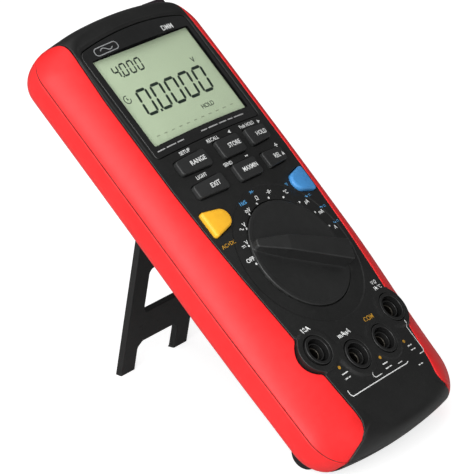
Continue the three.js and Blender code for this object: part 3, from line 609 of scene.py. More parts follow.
def surface(name, colour, light, dark, rough=0.5, rough_var=0.1, grain=2600.0,
            grain_depth=0.00003, blotch=55.0, wear=None, wear_amount=0.5, metallic=0.0,
            spec=0.5, scratch=0.0, dust=0.0):
    """A moulded or metal surface: slow drift between dark and light, fine grain in colour,
    roughness and bump, edges rubbed to the wear colour.  grain and blotch are noise scales."""
    mat = bpy.data.materials.new(name)
    nodes = Nodes(mat)
    calc, noise, map_range, mix = nodes.math, nodes.noise, nodes.map_range, nodes.mix
    bsdf = nodes["Principled BSDF"]
    coords = nodes.new("TexCoord").outputs["Object"]
    slow = noise(coords, blotch, detail=4.0)
    fine = noise(coords, grain, detail=2.0, roughness=0.6)
    middle = noise(coords, blotch * 7, detail=5.0, roughness=0.65)
    # colour: mostly the slow noise, then the middle one, a quarter of it calmed by the grain
    tone = calc("ADD", calc("MULTIPLY", map_range(slow, 0.3, 0.7), 0.55),
                calc("MULTIPLY", map_range(middle, 0.3, 0.7), 0.45))
    shade = mix(tone, dark, light)
    shade = mix(calc("MULTIPLY", map_range(fine, 0.35, 0.65), 0.25), shade, colour)
    # rubbed patches on the convex edges
    geometry = nodes.new("NewGeometry")
    edge = map_range(geometry.outputs["Pointiness"], 0.515, 0.60)
    patches = map_range(noise(coords, 420, detail=5.0, roughness=0.7), 0.42, 0.62)
    rub = calc("MULTIPLY", edge, patches, clamp=True)
    if wear is not None:
        shade = mix(calc("MULTIPLY", rub, wear_amount), shade, wear)
    if dust:
        # specks, thickest on faces that look up, and a film in the hollows
        normal = nodes.new("SeparateXYZ", {0: geometry.outputs["Normal"]})
        upward = map_range(normal.outputs["Z"], 0.2, 1.0, 0.25)
        specks = map_range(noise(coords, 900, detail=6.0, roughness=0.75), 0.55, 0.75)
        specks = calc("MULTIPLY", calc("MULTIPLY", specks, upward), dust)
        hollow = map_range(geometry.outputs["Pointiness"], 0.485, 0.42)
        cover = calc("MAXIMUM", specks, calc("MULTIPLY", hollow, dust * 0.6))
        shade = mix(cover, shade, tuple(c * 0.6 + 0.12 for c in colour))
    # roughness follows both noises and drops where the edges are rubbed
    drift = calc("MULTIPLY", calc("SUBTRACT", slow, 0.5), rough_var * 1.6)
    roughness = calc("ADD", drift, rough)
    speckle = calc("MULTIPLY", calc("SUBTRACT", fine, 0.5), rough_var * 1.2)
    roughness = calc("ADD", roughness, speckle)
    roughness = calc("SUBTRACT", roughness, calc("MULTIPLY", rub, 0.10))
    height = fine
    if scratch:
        # noise drawn out along one direction, cut to thin lines
        stretched = nodes.new("Mapping", {"Vector": coords, "Scale": (1.0, 14.0, 1.0),
                                          "Rotation": (0.3, 0.2, 0.9)}).outputs["Vector"]
        lines = map_range(noise(stretched, 240, detail=6.0, roughness=0.75), 0.60, 0.68)
        roughness = calc("ADD", roughness, calc("MULTIPLY", lines, scratch * 0.18))
        height = calc("SUBTRACT", fine, calc("MULTIPLY", lines, scratch * 0.5))
    bump = nodes.new("Bump", {"Strength": 0.7, "Distance": grain_depth, "Height": height})
    nodes.wire(bsdf, {
        "Base Color": shade,
        "Roughness": calc("MAXIMUM", calc("MINIMUM", roughness, 0.98), 0.05),
        "Normal": bump.outputs["Normal"],
        "Metallic": metallic,
        "Specular IOR Level": spec,
    })
    return mat


def clear_window(name):
    """Clear moulded window: lets the display show, with a faint uneven sheen."""
    mat = bpy.data.materials.new(name)
    nodes = Nodes(mat)
    nodes.tree.nodes.remove(nodes["Principled BSDF"])
    coords = nodes.new("TexCoord").outputs["Object"]
    haze = nodes.noise(coords, 300.0, detail=5.0, roughness=0.5)
    clear = nodes.new("BsdfTransparent", {"Color": (0.97, 0.99, 0.97, 1)})
    gloss = nodes.new("BsdfGlossy", {"Color": (1, 1, 1, 1),
                                     "Roughness": nodes.map_range(haze, 0, 1, 0.05, 0.14)})
    fresnel = nodes.new("LayerWeight", {"Blend": 0.12}).outputs["Fresnel"]
    mixed = nodes.new("MixShader", {0: nodes.math("MULTIPLY", fresnel, 0.5),
                                    1: clear.outputs[0], 2: gloss.outputs[0]})
    nodes.wire(nodes["Material Output"], {"Surface": mixed.outputs[0]})
    return mat


def ink(name, colour, rough=0.45):
    """Screen-printed ink: slightly uneven cover."""
    return surface(name, colour, light=tuple(min(1, c * 1.06) for c in colour),
                   dark=tuple(c * 0.86 for c in colour), rough=rough, rough_var=0.12,
                   grain=5200, grain_depth=0.00001, blotch=160)


# ------------------------------------------------------------------ materials
black = surface(
    "black_moulding", (0.0105, 0.0106, 0.0104), light=(0.0140, 0.0142, 0.0139),
    dark=(0.0078, 0.0079, 0.0077), grain=2300, grain_depth=0.00004,
    wear=(0.075, 0.077, 0.075), wear_amount=0.45, dust=0.10, scratch=0.25, spec=0.42)
black_rear = surface(
    "black_moulding_rear", (0.014, 0.0142, 0.014), light=(0.019, 0.0192, 0.019),
    dark=(0.010, 0.0102, 0.010), rough=0.56, rough_var=0.12, grain=1700, grain_depth=0.00006,
    wear=(0.07, 0.072, 0.07), dust=0.16, scratch=0.5, spec=0.4)
red = surface(
    "red_soft_grip", (0.90, 0.018, 0.020), light=(0.96, 0.026, 0.028),
    dark=(0.80, 0.012, 0.014), rough_var=0.08, grain_depth=0.00004, wear=(0.96, 0.10, 0.09),
    wear_amount=0.35, spec=0.38, dust=0.03, blotch=40)
key_black = surface(
    "black_key_rubber", (0.020, 0.0205, 0.0205), light=(0.026, 0.0265, 0.0265),
    dark=(0.015, 0.0155, 0.0155), rough=0.52, grain=3000, wear=(0.09, 0.092, 0.09),
    wear_amount=0.45, spec=0.42, dust=0.08)
key_yellow = surface(
    "yellow_key_rubber", (0.93, 0.46, 0.022), light=(0.97, 0.53, 0.03),
    dark=(0.85, 0.39, 0.016), rough=0.46, rough_var=0.08, grain=3000,
    wear=(0.99, 0.68, 0.16), wear_amount=0.35, spec=0.4)
key_blue = surface(
    "blue_key_rubber", (0.070, 0.31, 0.70), light=(0.085, 0.36, 0.76),
    dark=(0.055, 0.26, 0.62), rough=0.46, rough_var=0.08, grain=3000,
    wear=(0.28, 0.52, 0.85), wear_amount=0.35, spec=0.4)
knob_mat = surface(
    "knob_moulding", (0.0165, 0.0167, 0.0165), light=(0.0215, 0.0218, 0.0215),
    dark=(0.0125, 0.0127, 0.0125), rough=0.46, rough_var=0.09, grain=2500,
    grain_depth=0.00004, wear=(0.09, 0.092, 0.09), wear_amount=0.6, spec=0.45, dust=0.06,
    scratch=0.2)
socket_mat = surface(
    "socket_moulding", (0.010, 0.010, 0.010), light=(0.014, 0.014, 0.014),
    dark=(0.007, 0.007, 0.007), rough=0.34, rough_var=0.08, grain=3200, grain_depth=0.00002,
    wear=(0.10, 0.10, 0.10), scratch=0.4)
window_print = surface(
    "window_black_print", (0.0135, 0.0137, 0.0137), light=(0.016, 0.0163, 0.0163),
    dark=(0.011, 0.0112, 0.0112), rough=0.22, rough_var=0.06, grain=3600,
    grain_depth=0.00001, wear=(0.06, 0.06, 0.06), wear_amount=0.4, scratch=0.25)
window_clear = clear_window("window_clear_moulding")
lcd_mat = surface(
    "lcd_reflective_panel", (0.640, 0.710, 0.540), light=(0.670, 0.740, 0.565),
    dark=(0.610, 0.680, 0.512), rough_var=0.05, grain=5000, grain_depth=0.00001, blotch=14,
    spec=0.3)
lcd_ink = ink("lcd_segment_dark", (0.020, 0.032, 0.026), rough=0.4)
lcd_ghost = ink("lcd_segment_faint", (0.33, 0.375, 0.265), rough=0.4)
white_ink = ink("white_print", (0.80, 0.81, 0.80))
grey_ink = ink("grey_print", (0.42, 0.42, 0.42))
amber_ink = ink("amber_print", (0.50, 0.26, 0.025))
blue_ink = ink("blue_print", (0.09, 0.33, 0.62))
badge_ink = ink("badge_print", (0.30, 0.305, 0.31))
stand_mat = surface(
    "stand_moulding", (0.0065, 0.0067, 0.0065), light=(0.010, 0.0102, 0.010),
    dark=(0.0045, 0.0047, 0.0045), rough=0.52, rough_var=0.12, grain=1900,
    grain_depth=0.00005, wear=(0.07, 0.07, 0.07), spec=0.4, scratch=0.5, dust=0.10)
rubber = surface(
    "rubber_foot", (0.009, 0.009, 0.009), light=(0.014, 0.014, 0.014),
    dark=(0.006, 0.006, 0.006), rough=0.78, rough_var=0.12, grain=1500, grain_depth=0.00008,
    wear=(0.06, 0.06, 0.058), spec=0.3, dust=0.2)
steel = surface(
    "screw_steel", (0.42, 0.42, 0.43), light=(0.52, 0.52, 0.53), dark=(0.30, 0.30, 0.31),
    rough=0.34, rough_var=0.14, grain_depth=0.00002, metallic=1.0, wear=(0.75, 0.75, 0.75),
    wear_amount=0.6, scratch=1.0)
# contact sleeves: the metal is painted far darker than plated brass, as painted shade deep in the
# socket holes; the rubbed edges and scratches on it are real wear
sleeve_painted_shade = surface(
    "socket_sleeve_painted_shade", (0.115, 0.105, 0.090), light=(0.150, 0.138, 0.118),
    dark=(0.075, 0.068, 0.058), rough=0.38, rough_var=0.12, grain_depth=0.00002,
    metallic=1.0, wear=(0.32, 0.29, 0.24), scratch=0.8)
brass = surface(
    "brass_contact", (0.62, 0.42, 0.15), light=(0.72, 0.50, 0.20), dark=(0.42, 0.27, 0.09),
    rough=0.30, rough_var=0.14, grain_depth=0.00002, metallic=1.0, wear=(0.85, 0.66, 0.34),
    wear_amount=0.6, scratch=0.8)
copper = surface(
    "shunt_wire", (0.52, 0.33, 0.20), light=(0.62, 0.42, 0.27), dark=(0.32, 0.19, 0.12),
    rough=0.38, rough_var=0.14, metallic=1.0, scratch=1.0)
board_mat = surface(
    "board_laminate", (0.012, 0.085, 0.035), light=(0.02, 0.12, 0.05),
    dark=(0.008, 0.055, 0.024), rough=0.38, rough_var=0.12, blotch=260, grain=1600,
    grain_depth=0.00004, wear=(0.30, 0.26, 0.12))
chip_mat = surface(
    "chip_epoxy", (0.012, 0.012, 0.013), light=(0.018, 0.018, 0.019),
    dark=(0.008, 0.008, 0.009), rough=0.62, grain_depth=0.00005, wear=(0.07, 0.07, 0.07))
white_plastic = surface(
    "white_plastic", (0.66, 0.66, 0.62), light=(0.72, 0.72, 0.68), dark=(0.58, 0.58, 0.54),
    rough=0.45, wear=(0.8, 0.8, 0.78))
silicone = surface(
    "silicone_mat", (0.20, 0.21, 0.215), light=(0.24, 0.25, 0.255),
    dark=(0.16, 0.168, 0.172), rough=0.7, grain=1800, grain_depth=0.00005,
    wear=(0.34, 0.34, 0.34))
zebra = surface(
    "elastomer_strip", (0.09, 0.09, 0.095), light=(0.20, 0.19, 0.19),
    dark=(0.03, 0.03, 0.032), rough=0.6, blotch=900, grain=4200)
ceramic = surface(
    "fuse_ceramic", (0.62, 0.58, 0.49), light=(0.70, 0.66, 0.57), dark=(0.50, 0.46, 0.38),
    rough=0.35, blotch=180, grain=2400, wear=(0.78, 0.75, 0.68))
wrap = surface(
    "battery_wrap", (0.52, 0.15, 0.03), light=(0.60, 0.20, 0.05), dark=(0.40, 0.10, 0.02),
    rough=0.32, blotch=120, grain=2400, wear=(0.6, 0.5, 0.4), metallic=0.3)
optic = surface(
    "optical_window", (0.030, 0.020, 0.026), light=(0.042, 0.028, 0.036),
    dark=(0.020, 0.013, 0.018), rough=0.18, rough_var=0.05, grain=3200,
    grain_depth=0.00001, scratch=0.6)

# ------------------------------------------------------------------ skins of the case
INSET_STEP = 0.25
OUTLINES = np.stack([outline(t) for t in np.arange(0, 12.01, INSET_STEP)])


def outline_at(inset):
    """Outline points at insets given per row and column."""
    k = np.clip(inset / INSET_STEP, 0, len(OUTLINES) - 1.001)
    i = k.astype(int)
    part = (k - i)[..., None]
    j = np.arange(N_COLUMNS)[None, :]
    return OUTLINES[i, j] * (1 - part) + OUTLINES[i + 1, j] * part


def per_column(s):
    s = np.atleast_2d(s)
    return np.broadcast_to(s, (s.shape[0], N_COLUMNS))


def front_point(inset, s):
    """Front skin drawn in by inset, from the rim (s = 0) to the face's edge (s = 1) and on."""
    s = per_column(s)
    rim = outline_at(np.full(s.shape, float(inset)))
    # the lower corners are drawn in more
    low = smooth_step((np.abs(rim[..., 0]) - 18) / 18) * smooth_step((-rim[..., 1] - 45) / 20)
    y1 = Y_MID + (rim[..., 1] - Y_MID) * (0.952 - 0.040 * low)
    x1 = rim[..., 0] / (HALF_W - inset) * face_half(y1)
    x = rim[..., 0] + (x1 - rim[..., 0]) * s
    y = rim[..., 1] + (y1 - rim[..., 1]) * s
    # exponent of the rounded section: squarer at the ends
    middle = 1 - smooth_step((np.abs(x) - 20) / 16)
    power = 1.45 - 0.17 * smooth_step((-y) / 45)
    power = power + np.clip((np.abs(y - Y_MID) - 72) / 12, 0, 1) * middle
    rise = (1 - (1 - np.clip(s, 0, 1)) ** power) ** (1 / power)
    z_rim = Z_PART + 0.24
    z_edge = face_z(x1, y1) - inset
    z = np.where(s <= 1, z_rim + (z_edge - z_rim) * rise, face_z(x, y) - inset)
    return np.stack([x, y, z], -1)


def rear_point(inset, s):
    """Rear skin drawn in by inset, from the parting line (s = 0) round the back edge
    (s = 0.6) and over the back."""
    s = per_column(s)
    turn = np.clip(s / 0.6, 0, 1) * math.pi / 2
    power = 2 / 2.2
    across, rise = np.cos(turn) ** power, np.sin(turn) ** power
    # the back edge is drawn in more at the display end
    draw_in = (4.7 + 1.8 * smooth_step((OUTLINES[0][:, 1] + 45) / 110))[None, :]
    rim = outline_at(np.clip(inset + draw_in * (1 - across), 0, 11.9))
    z_rim = Z_PART - 0.24
    z = z_rim + (Z_BACK + inset - z_rim) * rise
    base = outline_at(np.broadcast_to(np.minimum(inset + draw_in, 11.9), s.shape))
    y1 = Y_MID + (base[..., 1] - Y_MID) * 0.985
    x1 = base[..., 0] / (HALF_W - inset - draw_in) * face_half(y1)
    onto_back = np.clip((s - 0.6) / 0.4, 0, 2)[..., None]
    flat = base + (np.stack([x1, y1], -1) - base) * onto_back
    plan = np.where((s <= 0.6)[..., None], rim, flat)
    return np.concatenate([plan, z[..., None]], -1)


# ------------------------------------------------------------------ where black meets red
def boss_field(x, y):
    """Signed distance to the joined outline of the four socket bosses, negative inside."""
    distances = [np.hypot(x - jx, y - jy) - BOSS_R for _, jx, jy in JACKS]
    joined = distances[0]
    for distance in distances[1:]:
        joined = smooth_min(joined, distance, 3.4)
    return joined


def outer_boss_field(x, y):
    return np.minimum(np.hypot(x + OUTER_X, y - OUTER_Y),
                      np.hypot(x - OUTER_X, y - OUTER_Y)) - BOSS_R


def front_black(x, y):
    return smooth_min(np.abs(x) - panel_half(y), outer_boss_field(x, y), 0.9)


def rear_black(x, y):
    return np.abs(x) - panel_half(y)


def crossing(point, field, gap):
    """Where each column passes from grip to panel."""
    low = np.zeros((1, N_COLUMNS))
    high = np.full((1, N_COLUMNS), 1.12)
    for _ in range(34):
        middle = (low + high) / 2
        p = point(0, middle)
        outside = field(p[..., 0], p[..., 1]) - gap > 0
        low = np.where(outside, middle, low)
        high = np.where(outside, high, middle)
    s = ((low + high) / 2)[0]
    rim = point(0, np.zeros((1, N_COLUMNS)))[0]
    s[field(rim[:, 0], rim[:, 1]) - gap <= 0] = 0
    return s


def arc_lengths(path):
    steps = np.linalg.norm(np.diff(path, axis=0), axis=2)
    return np.vstack([np.zeros(path.shape[1]), np.cumsum(steps, 0)])


def along(path, distance):
    """Points at distance (rows) along each column of a sampled path (samples, columns, 3)."""
    lengths = arc_lengths(path)
    out = np.empty((distance.shape[0], path.shape[1], 3))
    for j in range(path.shape[1]):
        rising = lengths[:, j] + np.arange(len(lengths)) * 1e-9
        for axis in range(3):
            out[:, j, axis] = np.interp(distance[:, j], rising, path[:, j, axis])
    return out


def skin_normals(skin, closed, facing):
    """Unit normals of a grid, turned outward; facing is 1 for the front, -1 for the rear."""
    if closed:
        across = np.roll(skin, -1, 1) - np.roll(skin, 1, 1)
    else:
        across = np.gradient(skin, axis=1)
    normals = np.cross(across, np.gradient(skin, axis=0))
    length = np.linalg.norm(normals, axis=2, keepdims=True)
    normals = normals / np.maximum(length, 1e-12)
    outward = np.stack([skin[..., 0] / 42, (skin[..., 1] - Y_MID) / 89,
                        np.full(skin.shape[:2], facing)], -1)
    sign = np.sign((normals * outward).sum(2, keepdims=True))
    normals = normals * np.where(sign == 0, 1, sign)
    fallback = outward / np.linalg.norm(outward, axis=2, keepdims=True)
    return np.where(length > 1e-10, normals, fallback)


EDGE_ROWS = (0, *RING)
N_EDGE = len(EDGE_ROWS)


def shell(point, field, top, under, inner_end, facing):
    """Columns of the hard shell, inside and out.  Returns them with the loop where the flat
    sheets, at heights top and under, take over."""
    s_edge = crossing(point, field, 0.0)
    seam = point(0, s_edge[None])[0]
    face_edge = point(0, np.ones((1, N_COLUMNS)))[0]
    base = np.where(IS_END[:, None], face_edge, seam)[:, :2]
    inner = offset(base, -0.9)
    strip = [inner + (base - inner) * k / 8 for k in range(8)]
    strip = np.stack([lift(xy, heights(top, xy)) for xy in strip])
    t = np.linspace(0, 1, 70)[:, None]
    end_path = point(0, s_edge[None] + (1 - s_edge[None]) * (1 - t) ** 2.0)
    side_path = np.repeat(lift(base, heights(top, base))[None], len(t), 0)
    outer_path = np.where(IS_END[None, :, None], end_path, side_path)
    path = np.concatenate([strip, outer_path])[::-1]
    length = arc_lengths(path)[-1]
    r = np.minimum(0.4, length * 0.35)
    n_middle = 13
    rows = [k * r for k in EDGE_ROWS]
    rows += [1.3 * r + (length - 1.3 * r) * k / n_middle for k in range(1, n_middle + 1)]
    distance = np.stack(rows)
    skin = along(path, distance)
    normals = skin_normals(skin, True, facing)
    skin[:N_EDGE] -= normals[:N_EDGE] * drop(distance[:N_EDGE], r)[..., None]
    # step under the grip, then back out and down inside
    lower = [point(2.3, (s_edge * (1 - k / 8))[None])[0] for k in range(9)]
    s_inner = np.where(IS_END, inner_end, s_edge)
    lower += [point(4.3, (s_inner * k / 6)[None])[0] for k in range(7)]
    lower.append(lift(inner, heights(under, inner)))
    soup = Soup().grid(np.concatenate([skin[::-1], np.stack(lower)]), wrap_cols=True)
    return soup, inner


def grip(point, field, side, name, node, facing):
    """One red side grip; side is the sign of x."""
    s_rim = crossing(point, field, 0.28)
    on = (s_rim > 0) & (OUTLINES[0][:, 0] * side > 0)
    index = np.arange(N_COLUMNS)[on]
    index = np.concatenate([[index[0] - 1], index, [index[-1] + 1]]) % N_COLUMNS
    t = np.linspace(0, 1, 110)[:, None]
    path = point(0, s_rim[None] * (1 - t) ** 1.8)[:, index]
    length = arc_lengths(path)[-1]
    fade = np.minimum(1, length / 3.0)
    r_edge, r_rim = 0.45 * fade, 0.35 * fade
    n_middle = 18
    middle = length - 1.3 * r_edge - 1.3 * r_rim
    rows = [k * r_edge for k in EDGE_ROWS]
    rows += [1.3 * r_edge + middle * i / n_middle for i in range(1, n_middle)]
    rows += [length - k * r_rim for k in EDGE_ROWS[::-1]]
    distance = np.stack(rows)
    skin = along(path, distance)
    normals = skin_normals(skin, False, facing)
    skin[:N_EDGE] -= normals[:N_EDGE] * drop(distance[:N_EDGE], r_edge)[..., None]
    from_rim = length - distance[-N_EDGE:]
    skin[-N_EDGE:] -= normals[-N_EDGE:] * drop(from_rim, r_rim)[..., None]
    inner = [point(2.0, (s_rim * k / 7)[None])[0][index] for k in range(8)]
    soup = Soup().grid(np.concatenate([skin, np.stack(inner)]), wrap_rows=True)
    make(name, soup, red, [node])


# ------------------------------------------------------------------ plan shapes on the face
def taper(x0, x1, y0, y1, left, right):
    """A key drawn in at its left or right side."""
    return [(x0, y0 + left), (x1, y0 + right), (x1, y1 - right * 0.3), (x0, y1 - left * 0.3)]


def bullet(side):
    """Square outer end, round inner end; side is the sign of x."""
    angles = np.radians(np.linspace(-76, 76, 19))
    plan = [(-29.5, 17.35)]
    plan += [(-22.5 + 3.7 * math.cos(a), 22.65 + 3.7 * math.sin(a)) for a in angles]
    plan += [(-29.5, 27.95)]
    return plan if side < 0 else [(-x, y) for x, y in plan][::-1]


KEY_R = 1.1
# name, plan, legend, x of the legend, its stretch
KEYS = [
    ("key_range", taper(-25.3, -10.6, 40.9, 47.6, 0.9, 0), "RANGE", -16.2, 0.95),
    ("key_store", taper(-4.2, 8.6, 40.6, 47.8, 0, 0), "STORE", 3.9, 0.95),
    ("key_hold", taper(13.3, 25.6, 40.9, 47.6, 0, 0.9), "HOLD", 21.0, 0.95),
    ("key_exit", taper(-25.3, -10.6, 31.0, 37.3, 0.9, 0), "EXIT", -16.2, 0.95),
    ("key_maxmin", taper(-4.2, 8.6, 30.8, 37.5, 0, 0), "MAXMIN", 3.3, 0.86),
    ("key_rel", taper(13.3, 25.6, 31.0, 37.3, 0, 0.9), "REL", 20.3, 1.0),
    ("key_yellow", bullet(-1), None, 0, 1),
    ("key_blue", bullet(1), None, 0, 1),
]


def key_loop(plan, r=KEY_R):
    n = len(plan)
    radii = [r if n <= 6 or i in (0, n - 1) else 0 for i in range(n)]
    return round_poly(plan, radii, 0.6)


LENS_HALF, LENS_BOTTOM, LENS_TOP, LENS_SAG = 29.4, 51.2, 99.0, 2.4
LENS_GAP = 0.3
top_xs = [LENS_HALF] + [22.4 - 44.8 * i / 18 for i in range(19)] + [-LENS_HALF]
lens_plan = [(-29.2, LENS_BOTTOM), (29.2, LENS_BOTTOM)]
lens_plan += [(x, LENS_TOP - LENS_SAG * (x / LENS_HALF) ** 2) for x in top_xs]
LENS = round_poly(lens_plan, [1.2, 1.2, 2.9] + [0] * 19 + [2.9], 0.9)
LENS_HOLE = offset(LENS, LENS_GAP)
WINDOW = box_loop(-28.1, 28.1, 53.4, 94.1, 0.8, 1.2)  # opening in the shell
VIEW = box_loop(-26.7, 26.7, 55.6, 92.3, 0.6, 1.2)  # clear part of the window plate
KNOB_HOLE = circle(0, 0, KNOB_HOLE_R, 120)


def cap_z(x, y):
    """Top of the front panel."""
    z = face_z(x, y)
    # dish round the knob
    r = np.hypot(x, y)
    cut = 0.38 * smooth_step((27.75 - r) / 0.55)
    slope = -1.15 + 0.9 * (r - KNOB_HOLE_R) / (DISH_R - KNOB_HOLE_R)
    z = np.where(r < 28, np.minimum(z - cut, np.where(r < DISH_R, slope, 9)), z)
    # raised bead round the window
    lens_top_y = LENS_TOP + LENS_GAP - LENS_SAG * (x / LENS_HALF) ** 2
    beyond = np.maximum(np.abs(x) - (LENS_HALF + LENS_GAP), LENS_BOTTOM - LENS_GAP - y)
    beyond = np.maximum(beyond, y - lens_top_y)
    bead = 0.22 * np.exp(-(((beyond - 1.15) / 0.42) ** 2))
    z = z + bead * smooth_step((y - 51.5) / 2.0)
    # joined bosses round the sockets, carried out to the panel's edge by the outer two
    raised = np.maximum(boss_top(x), z + 0.42)
    weight = smooth_step((0.25 - boss_field(x, y)) / 0.75)
    near_edge = smooth_step((np.abs(x) - (panel_half(y) - 1.3)) / 1.0)
    weight = np.maximum(weight, np.where(outer_boss_field(x, y) < 0.6, near_edge, 0))
    return z + (raised - z) * weight


def cap_under(x, y):
    """Underside of the front panel, deeper behind the window and the knob."""
    z = face_z(x, y) - 2.4
    beyond = np.maximum(np.maximum(np.abs(x) - 30.5, 50 - y), y - 100.3)
    z = z + (-5.4 - z) * smooth_step((0.8 - beyond) / 1.2)
    return z + (-4.4 - z) * smooth_step((25.0 - np.hypot(x, y)) / 1.0)


# ------------------------------------------------------------------ front shell and grips
LENS_SEAT, KNOB_SEAT = -3.5, -2.6
# opening, edge radius, where its wall ends
openings = [(LENS_HOLE, 0.32, LENS_SEAT), (KNOB_HOLE, 0.30, KNOB_SEAT)]
for _, plan, *_ in KEYS:
    openings.append((offset(key_loop(plan, KEY_R + 0.2), 0.3), 0.28, cap_under))
openings += [(circle(x, y, 5.75, 56), 0.3, cap_under) for _, x, y in JACKS]

# extra points where the surface bends: dish rim, window bead, boss outline
bends = [circle(0, 0, r, 150) for r in (27.0, 27.2, 27.4, 27.6, 27.85)]
bends += [offset(LENS_HOLE, d) for d in (0.7, 0.95, 1.2, 1.45, 1.75)]
boss_x, boss_y = np.meshgrid(np.arange(-31.5, 31.6, 0.7), np.arange(-51.5, -22.5, 0.6))
field = boss_field(boss_x, boss_y)
near = (field > -1.1) & (field < 0.7)
bends.append(np.stack([boss_x[near], boss_y[near]], 1))

soup, inner_loop = shell(front_point, front_black, cap_z, cap_under, 0.25, 1.0)
points, tris, sunk = sheet(inner_loop, [loop for loop, _, _ in openings], 1.7, 0.0,
                           [r for _, r, _ in openings], bends)
soup.tri(points, tris, heights(cap_z, points) - sunk)
soup.tri(points, tris, heights(cap_under, points), down=True)
for loop, r, end in openings:
    soup.wall(loop, heights(cap_z, loop) - r, heights(end, loop))
for outer, hole, seat in ((LENS_HOLE, WINDOW, LENS_SEAT),
                          (KNOB_HOLE, circle(0, 0, 4.75, 40), KNOB_SEAT)):
    soup.cap(seat, outer, [hole], 3.0)
    soup.cap(cap_under, outer, [hole], 3.0, down=True)
    soup.wall(hole, seat, heights(cap_under, hole))
make("shell_front", soup, black, replaces=["front_case"])
for side, word in ((-1, "left"), (1, "right")):
    grip(front_point, front_black, side, "grip_front_" + word, "front_grip_" + word, 1.0)

# ------------------------------------------------------------------ rear shell and grips
REAR_INSIDE = Z_BACK + 2.4
soup, inner_loop = shell(rear_point, rear_black, Z_BACK, REAR_INSIDE, 0.35, -1.0)
soup.cap(Z_BACK, inner_loop, (), 4.0)
soup.cap(REAR_INSIDE, inner_loop, (), 4.0, down=True)
make("shell_rear", soup, black_rear, replaces=["rear_case"])
for side, word in ((-1, "left"), (1, "right")):
    grip(rear_point, rear_black, side, "grip_rear_" + word, "rear_grip_" + word, -1.0)

# ------------------------------------------------------------------ raised bay on the back
pockets = [(box_loop(-19.95, 19.95, HINGE_Y - STAND_L - 0.9, HINGE_Y + 2.1, 1.2, 2), -27.6),
           (box_loop(-16.7, 16.7, 51.3, 100.6, 1.2, 2), -28.7)]  # stand, battery cover
pockets += [(circle(x, y, 3.25, 40), -27.4) for x, y in CASE_SCREWS]
bay = box_loop(-25.9, 25.9, -56.3, 102.0, 7, 1.5)
make("back_bay", slab(bay, Z_HUMP, -23.2, 1.1, 0.0, r_hole=0.35, spacing=3.0,
                      pockets=pockets), black_rear)

grooves = [(box_loop(-6.2, 6.2, y, y + 1.2, 0.55, 0.6), Z_HUMP + 0.75)
           for y in (55.0, 57.6, 60.2)]
grooves.append((circle(0, COVER_SCREW_Y, 3.1, 40), Z_HUMP + 1.0))
cover = box_loop(-16.4, 16.4, 51.6, 100.3, 1.0, 1.2)
make("bay_cover", slab(cover, Z_HUMP, -28.95, 0.35, 0.1, r_hole=0.25, spacing=2.5,
                       pockets=grooves), black_rear, replaces=["battery_cover"])

# ------------------------------------------------------------------ window plate, display
LENS_BACK, LENS_EDGE = -3.35, 0.35


def lens_top(x, y):
    return face_z(x, y) - 0.25


soup = Soup()
points, tris, sunk = sheet(LENS, [VIEW], 2.4, LENS_EDGE)
soup.tri(points, tris, heights(lens_top, points) - sunk)
soup.tri(points, tris, LENS_BACK, down=True)
soup.cap(lens_top, VIEW, (), 2.4, mat=1)
soup.cap(LENS_BACK, VIEW, (), 2.4, down=True, mat=1)
soup.wall(LENS, heights(lens_top, LENS) - LENS_EDGE, LENS_BACK)
make("window_plate", soup, [window_print, window_clear], ["display_lens"])

panel = box_loop(-27.6, 27.6, LCD_BOTTOM, 93.6, 0.8, 1.5)
make("display_panel", slab(panel, LCD_BACK, LCD_FRONT, 0.15, 0.15, spacing=4), lcd_mat,
     ["lcd_glass"])

# ------------------------------------------------------------------ keys
KEY_BACK = -5.7


def key_top(loop, height=1.42, swell=0.10):
    """Gently domed top of a key."""
    cx, cy = loop.mean(0)
    half_x, half_y = np.ptp(loop[:, 0]) / 2, np.ptp(loop[:, 1]) / 2

    def top(x, y):
        u, v = (x - cx) / half_x, (y - cy) / half_y
        return -CROWN * x * x + height + swell * (1 - u * u) * (1 - 0.6 * v * v)

    return top


for name, plan, legend, *_ in KEYS:
    loop = key_loop(plan)
    top = key_top(loop) if legend else key_top(loop, 1.28, 0.28)
    edge_r = 0.5 if legend else 1.0
    soup = Soup()
    soup.cap(top, loop, (), 0.9, edge_r, rings=(0.03, 0.12, 0.28, 0.5, 0.75, 1.0, 1.2))
    soup.cap(KEY_BACK, loop, (), 2.5, down=True)
    soup.wall(loop, heights(top, loop) - edge_r, KEY_BACK)
    mat, slot = {"key_yellow": (key_yellow, "yellow_key"),
                 "key_blue": (key_blue, "blue_key")}.get(name, (key_black, "black_abs"))
    make("cap_" + name[4:], soup, mat, [name], body=name)

# ------------------------------------------------------------------ selector knob
DISC_EDGE, DISC_BACK = 0.45, -2.2
BAR_EDGE = 0.5
HUB_END = -17.0
# the grip bar before turning: wide at -x, tapering to the pointer at +x
BAR = round_poly([(-19.6, 4.5), (-19.6, -4.5), (8.8, -3.3), (20.7, -1.75), (20.7, 1.75),
                  (8.8, 3.3)], [1.3, 1.3, 6, 1.15, 1.15, 6], 0.5)
BAR_X = [-21.2, -20.2, -18.6, 8.2, 9.0, 21.5]
BAR_TOP = [4.0, 4.55, 4.8, 4.62, 4.42, 1.35]


def disc_z(x, y):
    """Slightly domed disc with a fine bead near its rim."""
    r = np.hypot(x, y)
    return -0.78 + 0.12 * (1 - (r / DIAL_R) ** 2) + 0.10 * np.exp(-(((r - 19.9) / 0.35) ** 2))


def bar_z(x, y):
    return np.interp(x, BAR_X, BAR_TOP)


